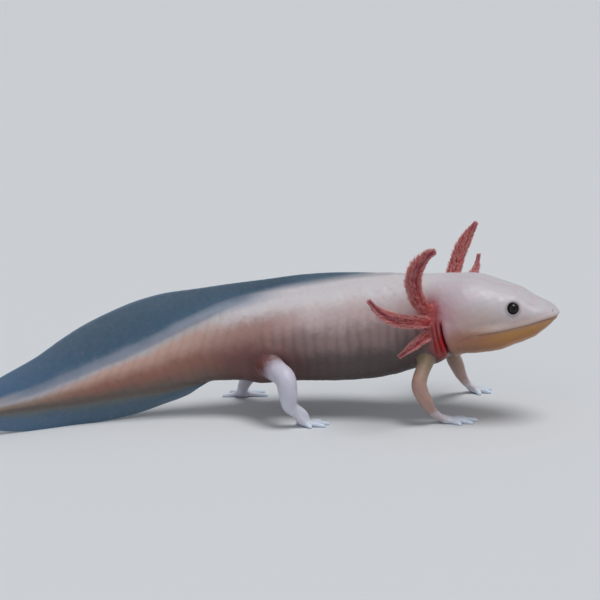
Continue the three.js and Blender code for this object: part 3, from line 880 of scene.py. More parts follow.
def fin_form(places, vertices):
    """Thins the fins towards their free edges, and lets them wave a little and show rays."""
    along, out = places.along, places.fin * smooth(places.fin_share, 0.15, 1)
    wave = 0.55 * np.sin(along / 11 + 0.6) + 0.3 * np.sin(along / 4.7)
    upright = np.stack([along, 0.12 * places.height, 0 * along], 1)
    rays = 0.035 * ripple(upright, 2.6, 8) * np.sign(places.left) * places.fin
    left = places.left * (1 - FIN_THINNING * out) + wave * out**2 + rays
    station = np.clip(along, 0, BODY_LENGTH)
    moved = on_body(station, left, vertices[:, 2])
    vertices = vertices + (moved - on_body(station, places.left, vertices[:, 2]))
    upper = (places.fin > 0.5) & (places.height > places.top)
    lower = (places.fin > 0.5) & (places.height < places.bottom)
    highest = np.where(upper, np.maximum(fin_top(along), places.top) - FIN_RIM, np.inf)
    lowest = np.where(lower, fin_bottom(along) + FIN_RIM, 0)
    vertices[:, 2] = np.clip(vertices[:, 2], lowest, highest)
    return vertices


def root_weight(places):
    """1 where a limb, a gill or a fin grows out of the body."""
    limb = places.near_core(4.5, 0.5) * smooth(places.leg_share, 0.0, 0.1)
    limb = limb * smooth(places.limb, -0.2, 0.2)
    gill = places.near_core(3, 0.4) * smooth(places.stalk, 0, 0.1)
    fin = bump(places.fin - 0.35, 0.35) * smooth(places.along, 60, 75)
    feet = between(places.digit, 0.02, 0.2, 0.3, 0.42)
    ankle = smooth(places.leg_share, 0.62, 0.8) * smooth(places.digit, 0.3, 0.15) * places.limb
    return np.clip(np.maximum.reduce([limb, 0.5 * gill, 0.3 * fin, 0.35 * feet, 0.5 * ankle]), 0, 1)


def shoulders(places):
    """The muscles from which the limbs grow, outwards in millimetres."""
    round_root = 1.5 * smooth(places.limb_gap, 5.5, 0.3) * places.near_core(2, 0.4)
    return round_root + 0.5 * places.near_core(6, 1) * places.limb


def fine_regions(places, eye_reach, band):
    """Where the head needs a finer mesh."""
    chosen = (np.abs(mouth_distance(places)) < band) & (mouth_strength(places) > 0)
    folds = np.abs(gular_distance(places) - 1.5) < 4 * band
    chosen |= folds & (places.height < 41) & (places.off_body < 3)
    for side in (1, -1):
        ahead, away = eye_polar(places.points, side)
        chosen |= (away < eye_reach) & (ahead > -2)
    for nostril in NOSTRILS:
        chosen |= nostril_distance(places, nostril) < eye_reach / 2
    return chosen


FIRST_ROUNDS, FIN_ROUNDS, ROOT_ROUNDS, LAST_ROUNDS = 4, 14, 60, 3  # of smoothing


def make_skin():
    thing = fused(skin_parts())
    edges = edges_of(thing.data)
    points = smoothed(vertices_of(thing.data), edges, FIRST_ROUNDS * EVEN_OUT)
    set_vertices(thing.data, points)
    places = Places(points)
    points = points + normals_of(thing.data) * shoulders(places)[:, None]
    points = smoothed(points, edges, FIN_ROUNDS * EVEN_OUT, smooth(places.fin, 0.5, 0.9))
    settled = smoothed(points, edges, ROOT_ROUNDS * SETTLE, root_weight(places))
    set_vertices(thing.data, settled)
    refine(thing, fine_regions(Places(settled), 4.6, 2.2))
    refine(thing, fine_regions(Places(vertices_of(thing.data)), 3.4, 0.9))

    points = smoothed(vertices_of(thing.data), edges_of(thing.data), LAST_ROUNDS * EVEN_OUT)
    set_vertices(thing.data, points)
    places = Places(points)
    normals = normals_of(thing.data)
    lumps = 0.09 * ripple(points, 7, 1) + 0.045 * ripple(points, 2.6, 2)
    outwards = head_swell(places) + mouth_shape(places) + fold_shape(places) + limb_shape(places)
    outwards = outwards + throat_folds(places) + neck_folds(places)
    outwards = outwards - 0.17 * costal_line(places) - 0.08 * tail_line(places)
    outwards = outwards + lumps * (1 - places.fin) * (1 - 0.7 * places.digit)
    vertices = points + normals * outwards[:, None]
    for nostril in NOSTRILS:
        away = nostril_distance(places, nostril)
        pit = -0.75 * bump(away, 0.42) + 0.16 * bump(away - 0.85, 0.3)
        vertices = vertices + normals * pit[:, None]
    vertices = eye_socket(places, normals, vertices)
    vertices = fin_form(places, vertices)
    set_vertices(thing.data, to_frame(vertices))
    paint_skin(thing.data, places)
    shade_smooth(thing.data)
    return thing


# ---- Markings and painted shade, as measures that the materials turn into colour ----
def head_rise(places):
    """The rise used for the head's colours: at the front the lip line parts pale from gold."""
    over = mouth_distance(places)
    lips = mouth(places.along)
    above = 0.46 + 0.54 * np.clip(over / (places.top - lips), 0, 1) ** 0.8
    depth = np.maximum(lips - places.bottom, 1)
    below = 0.36 * np.clip((places.height - places.bottom) / depth, 0, 1)
    parted = below + (above - below) * smooth(over, -1.8, 1.0)
    return places.rise + (parted - places.rise) * smooth(places.along, 30, 14)


MID_BODY = 80  # the hind legs are behind this length, the forelegs before it


def paint_skin(mesh, places):
    """Writes the strength of each marking and painted shade, from 0 to 1, on the mesh."""
    along, rise, height, left = places.along, places.rise, places.height, np.abs(places.left)
    over_mouth, behind = mouth_distance(places), gular_distance(places)
    side = smooth(left, 6, 11)
    lilac = spot(along, height, (42, 41), (1.3, 1.5), 6.5) * side
    red = spot(along, height, (41.5, 31), (0.9, 1.5), 4.2) * side
    red = red * smooth(behind, -1.2, 0.6) * places.near_core(2.4, 0.8)
    tail_ridge = smooth(height - places.top, -3.4, 1) * between(along, 100, 122, 200, 230)
    fin_tint = 0.85 * tail_ridge * smooth(left, 7, 4)
    hind = along > MID_BODY
    limb_skin = smooth(places.limb_gap, 1.7, 0.6) * smooth(places.off_body, -0.3, 1.4)
    limb_start = smooth(places.leg_share, np.where(hind, 0.2, 0.12), np.where(hind, 0.5, 0.28))
    # Painted shade: a dark red-brown band on the body round each limb's root, where the limb shades the
    # flank. It is full at the hind legs and weaker at the arms.
    limb_root_shade = bump(places.limb_gap - 1.5, 1.7) * places.near_core(2.6, 0.8)
    head_edge = 6 * smooth(rise, 0.45, 0.7) + 0.5
    eye_away = []
    for eye in (1, -1):
        ahead, away = eye_polar(places.points, eye)
        eye_away.append(away + 9 * (ahead < -1.5))
    measures = {
        "rise": rise,
        "head_rise": head_rise(places),
        "length": along / BODY_LENGTH,
        "rump": smooth(along, 92, 116),
        "tail": smooth(along, 118, 142),
        "tail_end": smooth(along, 172, 214),
        "head": smooth(behind, head_edge, -2.5),
        "jaw": smooth(over_mouth, 0.9, -1.9) * smooth(along, 31, 16),
        "chin": smooth(left / half_width(along), 0.78, 0.25) * smooth(over_mouth, -0.6, -4),
        "lilac": lilac,
        "gill_red": np.clip(red * (1 - places.limb), 0, 1),
        "gill_root": places.stalk_root,
        # The gill slits' red inside, darkened as painted shade of the openings.
        "slit_red_and_shade": gill_slits(places),
        "lip_line": bump(over_mouth, 0.24) * mouth_strength(places),
        # Painted shade: a soft grey ring on the skin round each eye.
        "socket": bump(np.maximum(np.minimum(*eye_away) - 2.2, 0), 0.75),
        # Painted shade: the grooves between the ribs and the tail's chevrons are darkened where shade
        # falls into them.
        "groove": np.clip(costal_line(places), 0, 1),
        "chevron_shade": tail_line(places),
        # Darker red-brown round the hind legs' roots. It is partly the rump's own red-brown and partly
        # painted shade above the thighs.
        "vent_tint_and_shade": spot(along, height, (112, 20), (2.2, 1.2), 8),
        "fin": np.maximum(places.fin, fin_tint),
        "fin_body": places.fin,
        "fin_share": places.fin_share,
        "limb": limb_skin * limb_start,
        "limb_root_shade": limb_root_shade * np.where(hind, 1, 0.4),
        "leg_share": places.leg_share,
        "digit": places.digit,
        "stalk": places.stalk,
        "stalk_share": places.stalk_share,
    }
    for name, values in measures.items():
        set_measure(mesh, name, values)


# ---- The gills' fringes ----
FILAMENT_SPACING = 0.21
FILAMENT_LAYERS = (-72, -46, -22, 0, 20, 40)  # degrees out of the stalk's flat plane
FILAMENT_RADIUS = 0.125
FILAMENT_WIDTHS = (0.9, 1, 1, 0.95, 0.8, 0.45)  # of the radius, from root to tip
FILAMENT_RINGS = len(FILAMENT_WIDTHS)
FILAMENT_SIDES = 5
FILAMENT_SCATTER = 9  # degrees by which a filament strays from its layer
FILAMENT_SWAY = 0.24  # how far its way strays from straight out
FILAMENT_REACH = (0.78, 1.0)  # of the outline's width
FILAMENT_BEND = (0.4, 1.2)
FILAMENT_SIZE = (0.8, 1.15)  # of the radius
SHORTEST_FILAMENT = 0.8
FRINGE_START, FRINGE_END = 0.17, 0.985  # shares of the stalk's length
FIRST_SEED = 40  # of the random draws of the first fringe
ROOT_DEPTH = 0.6  # how far out from the stalk's middle a filament starts, as a share of its radius
ROOT_PATCH = 0.003  # size of a filament's patch on the unwrap of its stalk


def filament(root, outwards, forward, length, bend, radius):
    """One thread that leaves the stalk outwards and bends towards its tip."""
    share = np.linspace(0, 1, FILAMENT_RINGS)
    lean = bend * share**1.3
    path = root + length * (share[:, None] * outwards + (lean * share)[:, None] * forward)
    tangent = unit(np.gradient(path, axis=0))
    side = unit(np.cross(tangent, np.cross(outwards, forward)))
    other = np.cross(tangent, side)
    size = radius * np.array(FILAMENT_WIDTHS)
    return path[:, None] + size[:, None, None] * rounds(side, other, FILAMENT_SIDES)


def fringe(name, gill, seed):
    """All filaments of one gill as a single mesh."""
    random = np.random.default_rng(seed)
    route, normal = GILL_ROUTES[name], gill["normal"]
    reach_at = outline(gill["widths"])
    radius = stalk_radius(gill["widths"])
    count = int(route.length * (1 - FRINGE_START) / FILAMENT_SPACING)
    rows = [(tilt, edge) for tilt in FILAMENT_LAYERS for edge in (1, -1)]
    parts, tones_and_shades, patches = [], [], []
    for row, (tilt, edge) in enumerate(rows):
        steep = smooth(np.where(tilt > 0, 2.2, 1) * abs(tilt), 30, 80)
        for k in range(count):
            share = FRINGE_START + (1 - FRINGE_START) * (k + random.uniform(0, 0.9)) / count
            share = min(share, FRINGE_END)
            side, out = route.frame(share, normal)
            angle = math.radians(tilt + random.normal(0, FILAMENT_SCATTER))
            outwards = unit(edge * side * math.cos(angle) + out * math.sin(angle))
            stalk = radius(share)
            inside = stalk * np.array([math.cos(angle), STALK_FLAT * math.sin(angle)]) * ROOT_DEPTH
            root = route.at(share) + edge * side * inside[0] + out * inside[1]
            growth = smooth(share, FRINGE_START - 0.04, FRINGE_START + 0.16)
            growth = growth * (1 - 0.25 * smooth(share, 0.7, 1))
            reach = reach_at(share) * random.uniform(*FILAMENT_REACH) * growth
            length = reach / max(math.cos(angle), 0.8) - ROOT_DEPTH * stalk
            length = max(length, SHORTEST_FILAMENT) * (1 - 0.3 * steep)
            bend = random.uniform(*FILAMENT_BEND) + 0.5 * smooth(share, 0.85, 1) + 0.9 * steep
            sway = unit(outwards + FILAMENT_SWAY * random.normal(size=3))
            size = FILAMENT_RADIUS * random.uniform(*FILAMENT_SIZE)
            parts.append(shell(filament(root, sway, route.forward(share), length, bend, size)))
            # Each filament's random tone plus its gill's painted shade.
            tones_and_shades.append(random.uniform(0, 1) + gill["shade"])
            patches.append((share, (row + edge + 0.5) / len(rows)))
    thing = new_object("fringe_" + name, *joined([(to_frame(v), f) for v, f in parts]))
    mesh = thing.data
    per_filament = FILAMENT_RINGS * FILAMENT_SIDES + 2
    along = np.append(np.repeat(np.linspace(0, 1, FILAMENT_RINGS), FILAMENT_SIDES), [0, 1])
    reach = np.tile(along, len(parts))
    set_measure(mesh, "reach", reach)
    set_measure(mesh, "tone_and_shade", np.repeat(tones_and_shades, per_filament))
    set_measure(mesh, "place", np.repeat([p[0] for p in patches], per_filament))
    add_patches(mesh, np.array(patches), per_filament, reach)
    shade_smooth(mesh)
    return thing


def add_patches(mesh, patches, per_filament, reach):
    """The map OFBake: each filament is a tiny patch where its root lies on the stalk's unwrap."""
    corner = read(mesh.loops, "vertex_index", np.int32)
    filament_of = corner // per_filament
    ring_place = (corner % per_filament % FILAMENT_SIDES) / FILAMENT_SIDES
    spot = 0.02 + 0.96 * patches[filament_of]
    offset = np.stack([reach[corner] - 0.5, ring_place - 0.4], 1) * ROOT_PATCH
    layer = mesh.uv_layers.new(name="OFBake")
    layer.data.foreach_set("uv", (spot + offset).ravel())


# ---- Materials ----
WHOLLY_FIN = 0.6  # above this a point has the fin's own material


def srgb(red, green, blue):
    """The linear colour of an sRGB colour whose channels run from 0 to 255."""
    channels = (value / 255 for value in (red, green, blue))
    return (*(v / 12.92 if v <= 0.04045 else ((v + 0.055) / 1.055) ** 2.4 for v in channels), 1)


class Nodes:
    """A material and short ways to add nodes to it."""

    def __init__(self, name):
        self.material = bpy.data.materials.new(name)
        self.material.use_nodes = True
        self.tree = self.material.node_tree
        self.shader = self.tree.nodes["Principled BSDF"]
        self.place = self.add("TexCoord").outputs["Object"]

    def feed(self, socket, value):
        """Links another node's output to a socket, or sets it to a value or a named colour."""
        if isinstance(value, bpy.types.NodeSocket):
            self.tree.links.new(value, socket)
        else:
            socket.default_value = COLOURS[value] if isinstance(value, str) else value

    def add(self, kind, inputs=None, **settings):
        node = self.tree.nodes.new("ShaderNode" + kind)
        for name, value in settings.items():
            setattr(node, name, value)
        for name, value in (inputs or {}).items():
            self.feed(node.inputs[name], value)
        return node

    def measure(self, name):
        return self.add("Attribute", attribute_name=name).outputs["Fac"]

    def mix(self, share, first, second, blend="MIX"):
        node = self.add("Mix", {0: share, 6: first, 7: second}, data_type="RGBA", blend_type=blend)
        return node.outputs[2]

    def over(self, colour, measure, upper=None, share=None):
        """Lays a colour over another by a measure, or a share of it. Often both have one name."""
        strength = self.measure(measure)
        if share is not None:
            strength = self.times(strength, share)
        return self.mix(strength, colour, measure if upper is None else upper)

    def math(self, operation, first, second=0.0, clamp=False):
        node = self.add("Math", {0: first, 1: second}, operation=operation, use_clamp=clamp)
        return node.outputs[0]

    def plus(self, first, second, clamp=False):
        return self.math("ADD", first, second, clamp)

    def times(self, first, second):
        return self.math("MULTIPLY", first, second)

    def scaled(self, value, low, high, to_low=0.0, to_high=1.0):
        """Turns low into to_low and high into to_high, with an easy start and end."""
        inputs = {"Value": value, "From Min": low, "From Max": high,
                  "To Min": to_low, "To Max": to_high}
        return self.add("MapRange", inputs, interpolation_type="SMOOTHSTEP").outputs["Result"]

    def ramp(self, share, stops):
        """The named colours at their places, eased into each other."""
        node = self.add("ValToRGB", {"Fac": share})
        ramp = node.color_ramp
        ramp.interpolation = "EASE"
        while len(ramp.elements) < len(stops):
            ramp.elements.new(0.5)
        for element, (place, colour) in zip(ramp.elements, stops):
            element.position = place
            element.color = COLOURS[colour]
        return node.outputs["Color"]

    def noise(self, size, detail=3.0, roughness=0.55):
        """Random clouds of about this size in millimetres."""
        inputs = {"Vector": self.place, "Scale": 1 / (size * MM), "Detail": detail,
                  "Roughness": roughness}
        return self.add("TexNoise", inputs).outputs["Fac"]

    def cells(self, size):
        """The distance from the nearest of random dots that stand about this far apart."""
        inputs = {"Vector": self.place, "Scale": 1 / (size * MM)}
        return self.add("TexVoronoi", inputs).outputs["Distance"]

    def vessels(self, size, roughness, width, strength):
        """Thin winding lines where a random cloud passes its middle value."""
        winding = self.math("ABSOLUTE", self.math("SUBTRACT", self.noise(size, 3, roughness), 0.5))
        return self.times(self.scaled(winding, width, 0.0), strength)

    def bumps(self, height, strength, distance):
        """Fine relief whose peaks stand this many millimetres high."""
        node = self.add("Bump", {"Height": height, "Strength": strength, "Distance": distance * MM})
        self.feed(self.shader.inputs["Normal"], node.outputs["Normal"])

    def finish(self, colour, roughness, **constants):
        """The material with this colour and roughness and with constants of its shader."""
        for name, value in dict(Base_Color=colour, Roughness=roughness, **constants).items():
            self.feed(self.shader.inputs[name.replace("_", " ")], value)
        return self.material


PIGMENTS = {
    # The dark belly and the darker flank are partly the guts showing through and partly painted shade.
    "belly": (86, 75, 72), "flank": (148, 126, 124), "side": (190, 170, 169),
    "back": (203, 198, 200), "rump": (116, 84, 79), "rump_side": (168, 134, 126),
    "tail_keel": (106, 95, 88), "tail": (150, 106, 92), "tail_side": (188, 156, 144),
    "tail_ridge": (180, 174, 172), "tail_end": (158, 138, 121), "throat": (142, 104, 80),
    "jaw": (160, 110, 80), "cheek": (192, 173, 166), "crown": (198, 192, 196),
    "gold": (188, 140, 74), "amber": (160, 98, 26), "chin": (196, 164, 136),
    "lilac": (186, 140, 154), "gill_red": (180, 6, 4), "gill_root": (164, 46, 48),
    # The grey round the eyes is painted shade.
    # The slits' dark red is their red inside plus painted shade of the openings.
    "slit_red_and_shade": (84, 10, 10), "lip_line": (112, 80, 62), "socket": (128, 118, 122),
    # The dark band round the limbs' roots is painted shade.
    # The red-brown round the hind legs' roots is partly own colour and partly painted shade above the
    # thighs.
    # The rib grooves' dark colour is painted shade in the creases.
    "vent_tint_and_shade": (112, 58, 54), "groove": (70, 58, 58), "limb_root_shade": (78, 46, 46),
    "fin_root": (128, 140, 160), "fin": (61, 94, 118), "fin_end": (70, 107, 140),
    # The upper arm's darker tan is partly painted shade. The bluish white of the feet and digits is
    # partly a painted highlight.
    "fin_low": (104, 110, 104), "fin_edge": (104, 136, 156), "arm_top_tone_and_shade": (138, 124, 98),
    "arm": (174, 142, 131), "leg": (199, 197, 211), "foot": (206, 210, 220),
    "digit": (208, 222, 236), "stalk": (160, 44, 44), "stalk_tip": (132, 62, 80),
    "pale": (214, 160, 152), "vessel": (176, 96, 92), "speck": (226, 222, 220),
    "thread_root": (150, 30, 34), "thread": (202, 74, 78), "thread_rosy": (222, 124, 126),
    "thread_tip": (234, 174, 168), "thread_dusk": (138, 80, 100), "iris": (15, 12, 12),
    "iris_fleck": (84, 66, 50), "pupil": (4, 4, 5), "pupil_ring": (132, 108, 80),
    "floor": (214, 216, 218), "sky": (214, 220, 228),
}
COLOURS = {name: srgb(*channels) for name, channels in PIGMENTS.items()}
# Which colours follow each other up the side of each region, from 0 at the belly to 1 at the ridge.
BY_HEIGHT = {
    # The dark belly and low flank of the trunk and rump are partly the guts showing through the skin
    # and partly painted shade from the light above.
    "trunk": [(0.24, "belly"), (0.52, "flank"), (0.7, "side"), (0.92, "back")],
    "rump": [(0.04, "belly"), (0.36, "rump"), (0.7, "rump_side"), (0.92, "back")],
    "tail": [(0.02, "tail_keel"), (0.42, "tail"), (0.76, "tail_side"), (0.95, "tail_ridge")],
    "tail_end": [(0.0, "tail_keel"), (0.45, "tail_end"), (0.9, "tail_ridge")],
    "head": [(0.04, "throat"), (0.26, "jaw"), (0.52, "cheek"), (0.84, "crown")],
}


def skin_colour(nodes):
    """The colour of the skin from its measures and a little randomness."""
    cloud = nodes.noise(9, 4)
    fine = nodes.noise(1.6, 5, 0.65)
    wander = nodes.plus(nodes.scaled(cloud, 0.3, 0.7, -0.04, 0.04),
                        nodes.scaled(fine, 0.3, 0.7, -0.025, 0.025))
    rise = nodes.plus(nodes.measure("rise"), wander, clamp=True)
    colour = nodes.ramp(rise, BY_HEIGHT["trunk"])
    for region in ("rump", "tail", "tail_end"):
        colour = nodes.over(colour, region, nodes.ramp(rise, BY_HEIGHT[region]))
    # Partly the rump's own red-brown, partly painted shade above the thighs.
    colour = nodes.over(colour, "vent_tint_and_shade", share=0.6)
    # Painted shade in the grooves between the ribs and, faintly, in the tail's chevrons.
    colour = nodes.over(colour, "groove", share=nodes.scaled(fine, 0.25, 0.7, 0.25, 0.5))
    colour = nodes.over(colour, "chevron_shade", "groove", 0.08)
    colour = nodes.over(colour, "head", head_colour(nodes, cloud, fine, wander))
    colour = nodes.over(colour, "lilac", share=0.7)
    # Painted shade round the limbs' roots.
    colour = nodes.over(colour, "limb_root_shade", share=nodes.scaled(fine, 0.25, 0.75, 0.45, 0.7))
    limb_edge = nodes.plus(nodes.measure("limb"), nodes.scaled(fine, 0.3, 0.7, -0.1, 0.1))
    colour = nodes.mix(nodes.scaled(limb_edge, 0.06, 0.94), colour, limb_colour(nodes, fine))
    colour = nodes.over(colour, "gill_root", share=nodes.scaled(fine, 0.3, 0.7, 0.65, 0.95))
    # The slits' dark red is partly their red inside and partly painted shade of the openings.
    for measure in ("gill_red", "slit_red_and_shade"):
        colour = nodes.over(colour, measure)
    colour = nodes.mix(nodes.scaled(fine, 0.35, 0.75, 0.0, 0.22), colour, "vessel", "SOFT_LIGHT")
    in_places = nodes.scaled(cloud, 0.45, 0.65, 0.0, 0.2)
    colour = nodes.mix(nodes.vessels(5, 0.45, 0.014, in_places), colour, "vessel")
    specks = nodes.scaled(nodes.cells(1.1), 0.2, 0.1)
    specks = nodes.times(specks, nodes.scaled(fine, 0.5, 0.65, 0.0, 0.14))
    colour = nodes.mix(specks, colour, "speck")
    colour = nodes.over(colour, "stalk", stalk_colour(nodes, fine))
    return nodes.over(colour, "fin", fin_colour(nodes, cloud, fine))


def head_colour(nodes, cloud, fine, wander):
    """Pale above the lip line and golden below it, with a paler chin."""
    rise = nodes.plus(nodes.measure("head_rise"), nodes.times(wander, 0.6), clamp=True)
    gold = nodes.mix(nodes.scaled(rise, 0.04, 0.3), "amber", "gold")
    colour = nodes.ramp(rise, BY_HEIGHT["head"])
    colour = nodes.over(colour, "jaw", gold, nodes.scaled(fine, 0.25, 0.75, 0.6, 1.0))
    colour = nodes.over(colour, "chin", share=nodes.scaled(cloud, 0.25, 0.75, 0.6, 0.9))
    colour = nodes.over(colour, "lip_line", share=0.45)
    # Painted shade: a soft grey ring round the eye.
    return nodes.over(colour, "socket", share=0.6)


def limb_colour(nodes, fine):
    """Rosy arms whose darker tops are partly painted shade, pale legs, and bluish white hands and feet
    whose bluish white is partly a painted highlight.
    """
    wander = nodes.scaled(fine, 0.3, 0.7, -0.06, 0.06)
    along_leg = nodes.plus(nodes.measure("leg_share"), wander)
    # The upper arm's darker olive tan is partly its own colour and partly painted shade. The feet's
    # bluish white is partly a painted highlight.
    arm = nodes.ramp(along_leg, [(0.2, "arm_top_tone_and_shade"), (0.55, "arm"), (0.7, "arm"), (0.97, "foot")])
    leg = nodes.ramp(along_leg, [(0.4, "leg"), (1.0, "foot")])
    colour = nodes.mix(nodes.scaled(nodes.measure("length"), 0.3, 0.36), arm, leg)
    # The digits' bluish white is partly pale skin and partly a painted highlight.
    return nodes.mix(nodes.scaled(nodes.measure("digit"), 0.2, 0.8), colour, "digit")


def fin_colour(nodes, cloud, fine):
    """Pale next to the body, slate further out and a little lighter along the rim."""
    share = nodes.measure("fin_share")
    out = nodes.plus(share, nodes.scaled(cloud, 0.3, 0.7, -0.05, 0.05))
    slate = nodes.over("fin", "tail_end", "fin_end")
    upper = nodes.mix(nodes.scaled(out, 0.3, -0.02), slate, "fin_root")
    lower = nodes.mix(nodes.scaled(out, 0.6, -0.02), slate, "fin_low")
    colour = nodes.mix(nodes.scaled(nodes.measure("rise"), 0.4, 0.6), lower, upper)
    colour = nodes.mix(nodes.scaled(share, 0.92, 1.0, 0.0, 0.6), colour, "fin_edge")
    colour = nodes.mix(nodes.vessels(7, 0.5, 0.012, 0.12), colour, "lilac")
    return nodes.mix(nodes.scaled(fine, 0.3, 0.75, 0.0, 0.14), colour, "fin_root")


def stalk_colour(nodes, fine):
    towards_tip = nodes.scaled(nodes.measure("stalk_share"), 0.3, 1.0)
    colour = nodes.mix(towards_tip, "stalk", "stalk_tip")
    return nodes.mix(nodes.scaled(fine, 0.4, 0.7, 0.0, 0.45), colour, "pale")


def skin_relief(nodes):
    grain = nodes.scaled(nodes.cells(0.42), 0.0, 0.6)
    nodes.bumps(nodes.plus(nodes.times(grain, 0.5), nodes.noise(1.1, 4, 0.6)), 0.35, 0.12)


def flesh(nodes, colour, grain, low, high, glow, radius):
    """Moist flesh whose roughness follows a grain, and into which light sinks by the radius."""
    return nodes.finish(
        colour, nodes.scaled(grain, 0.3, 0.7, low, high), Subsurface_Weight=glow,
        Subsurface_Radius=(1.0, 0.4, 0.3), Subsurface_Scale=radius * MM, Specular_IOR_Level=0.35,
        Coat_Weight=0.18, Coat_Roughness=0.3)


def skin_material():
    nodes = Nodes("moist_skin")
    skin_relief(nodes)
    return flesh(nodes, skin_colour(nodes), nodes.noise(2.5, 4), 0.38, 0.56, 0.3, 2.2)


def fin_material():
    """The same skin where it is a thin fin that lets some light through."""
    nodes = Nodes("fin_skin")
    on_fin = nodes.scaled(nodes.measure("fin_body"), WHOLLY_FIN, 1.0)
    outer = nodes.times(nodes.times(on_fin, nodes.measure("fin_share")), 0.2)
    clear = nodes.plus(outer, nodes.times(on_fin, 0.06))
    nodes.feed(nodes.shader.inputs["Alpha"], nodes.math("SUBTRACT", 1.0, clear))
    skin_relief(nodes)
    return flesh(nodes, skin_colour(nodes), nodes.noise(2.5, 4), 0.36, 0.5, 0.2, 1.2)


def gill_material():
    """Threads that pale from a deep red root to a rosy tip, duskier towards the stalk's end."""
    nodes = Nodes("gill_fringe")
    stops = [(0.0, "thread_root"), (0.3, "thread"), (0.7, "thread_rosy"), (1.0, "thread_tip")]
    colour = nodes.ramp(nodes.measure("reach"), stops)
    dusk = nodes.scaled(nodes.measure("place"), 0.75, 1.0, 0.0, 0.4)
    colour = nodes.mix(dusk, colour, "thread_dusk")
    # Darkens towards the root red by each filament's random tone and its gill's painted shade.
    shade = nodes.plus(nodes.times(nodes.measure("tone_and_shade"), 0.6), nodes.noise(0.9, 3))
    colour = nodes.mix(nodes.scaled(shade, 0.3, 1.3, 0.0, 0.5), colour, "thread_root")
    nodes.bumps(nodes.noise(0.35, 3), 0.3, 0.05)
    return flesh(nodes, colour, nodes.noise(0.7, 3), 0.35, 0.55, 0.25, 0.8)


def eye_material():
    """A black pupil and a nearly black iris, parted by a faint ring of flecks."""
    nodes = Nodes("eye_cornea")
    away = nodes.measure("off_axis")
    fleck = nodes.noise(0.35, 5, 0.7)
    colour = nodes.mix(nodes.scaled(fleck, 0.55, 0.75, 0.0, 0.3), "iris", "iris_fleck")
    colour = nodes.mix(nodes.scaled(away, 0.48, 0.45), colour, "pupil")
    ring = nodes.times(nodes.scaled(away, 0.44, 0.48), nodes.scaled(away, 0.56, 0.5))
    ring = nodes.times(ring, nodes.scaled(fleck, 0.42, 0.65, 0.0, 0.4))
    return nodes.finish(nodes.mix(ring, colour, "pupil_ring"),
                        nodes.scaled(fleck, 0.2, 0.8, 0.06, 0.14),
                        Specular_IOR_Level=0.25, Coat_Weight=0.12, Coat_Roughness=0.03)


# ---- Eyes ----
CORNEA_BULGE = 0.02  # of the eye's radius
EYE_GAP = 0.03  # by which the ball is smaller than its socket


def make_eye(name, side):
    """An eyeball whose cornea bulges a little along its axis."""
    axis = eye_axis(side)
    across = unit(np.cross(axis, (0, 0, 1)))
    count, around = EYE_CUTS
    polar = np.linspace(0.02, math.pi - 0.02, count)
    radius = EYE_RADIUS * (1 + CORNEA_BULGE * bump(polar, 0.5)) - EYE_GAP
    ahead = axis * (radius * np.cos(polar))[:, None, None]
    ring = rounds(across[None], np.cross(across, axis)[None], around)
    rings = eye_place(side) + ahead + ring * (radius * np.sin(polar))[:, None, None]
    vertices, faces = shell(rings)
    thing = new_object(name, to_frame(vertices), faces)
    offset = unit(vertices - eye_place(side))
    set_measure(thing.data, "off_axis", np.arccos(np.clip(offset @ axis, -1, 1)))
    shade_smooth(thing.data)
    return thing


# ---- Stage, light and camera ----
CAMERA_DISTANCE = 700  # from the point that it looks at
CAMERA_ELEVATION = 11
LOOKS_AT = (0, 0, 43.4)
FOCAL_PIXELS = 1842.1
PICTURE_PIXELS = 600
SENSOR_WIDTH = 36
FLOOR_HALF = 20.0  # metres
SKY_STRENGTH = 0.46
# Each lamp's name, where its light comes from, its strength and its spread in degrees.
LAMPS = [("key", (0.25, -0.15, 1.0), 1.8, 30), ("fill", (-0.5, -1.0, 0.5), 0.35, 60)]


def turn(thing, way, axis):
    """Turns an object so that this axis of its own points the given way."""
    thing.rotation_mode = "QUATERNION"
    thing.rotation_quaternion = Vector(way).to_track_quat(axis, "Y")


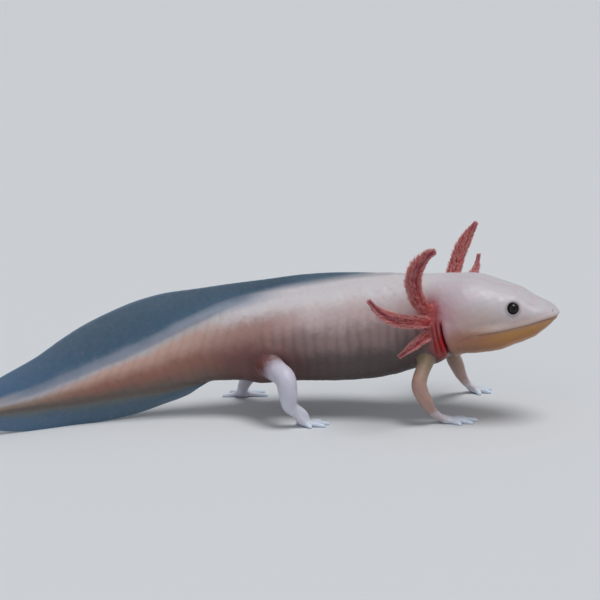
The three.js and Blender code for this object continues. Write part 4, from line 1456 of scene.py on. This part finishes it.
def make_camera():
    camera = bpy.data.cameras.new("camera")
    camera.sensor_width = SENSOR_WIDTH
    camera.lens = SENSOR_WIDTH * FOCAL_PIXELS / PICTURE_PIXELS
    camera.clip_start, camera.clip_end = 0.01, 100
    thing = placed("camera", camera)
    tilt = math.radians(CAMERA_ELEVATION)
    back = np.array([0, -math.cos(tilt), math.sin(tilt)])
    thing.location = to_frame(np.array(LOOKS_AT) + CAMERA_DISTANCE * back)
    turn(thing, -back, "-Z")
    bpy.context.scene.camera = thing


def make_floor():
    corners = [(x * FLOOR_HALF, y * FLOOR_HALF, 0) for x, y in ((-1, -1), (1, -1), (1, 1), (-1, 1))]
    floor = new_object("floor", corners, [[0, 1, 2, 3]])
    material = Nodes("pale_floor").finish("floor", 0.7, Specular_IOR_Level=0.2)
    floor.data.materials.append(material)


def make_light():
    world = bpy.data.worlds.new("studio")
    world.use_nodes = True
    sky = world.node_tree.nodes["Background"].inputs
    sky["Color"].default_value = COLOURS["sky"]
    sky["Strength"].default_value = SKY_STRENGTH
    bpy.context.scene.world = world
    for name, origin, strength, spread in LAMPS:
        lamp = bpy.data.lights.new(name, "SUN")
        lamp.energy = strength
        lamp.angle = math.radians(spread)
        turn(placed(name, lamp), origin, "Z")
    bpy.context.scene.view_settings.view_transform = "Standard"


# ---- The model ----
make_camera()
make_floor()
make_light()

skin = make_skin()
skin.data.materials.append(skin_material())
skin.data.materials.append(fin_material())


def choose_fin_faces(mesh):
    """Gives the faces that lie wholly on a fin the fin's material."""
    fin = read(mesh.attributes["fin_body"].data, "value", np.float32)
    corner = read(mesh.loops, "vertex_index", np.int32)
    start = read(mesh.polygons, "loop_start", np.int32)
    least = np.minimum.reduceat(fin[corner], start)
    mesh.polygons.foreach_set("material_index", (least > WHOLLY_FIN).astype(np.int32))


choose_fin_faces(skin.data)
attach(skin, "root")
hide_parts(*[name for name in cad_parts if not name.startswith("eye_")])

fringe_look = gill_material()
for number, (name, gill) in enumerate(GILLS.items()):
    piece = fringe(name, gill, FIRST_SEED + number)
    piece.data.materials.append(fringe_look)
    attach(piece, "root")

eye_look = eye_material()
for side, where in ((1, "left"), (-1, "right")):
    ball = make_eye("eyeball_" + where, side)
    ball.data.materials.append(eye_look)
    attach(ball, "root")
    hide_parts("eye_" + where)
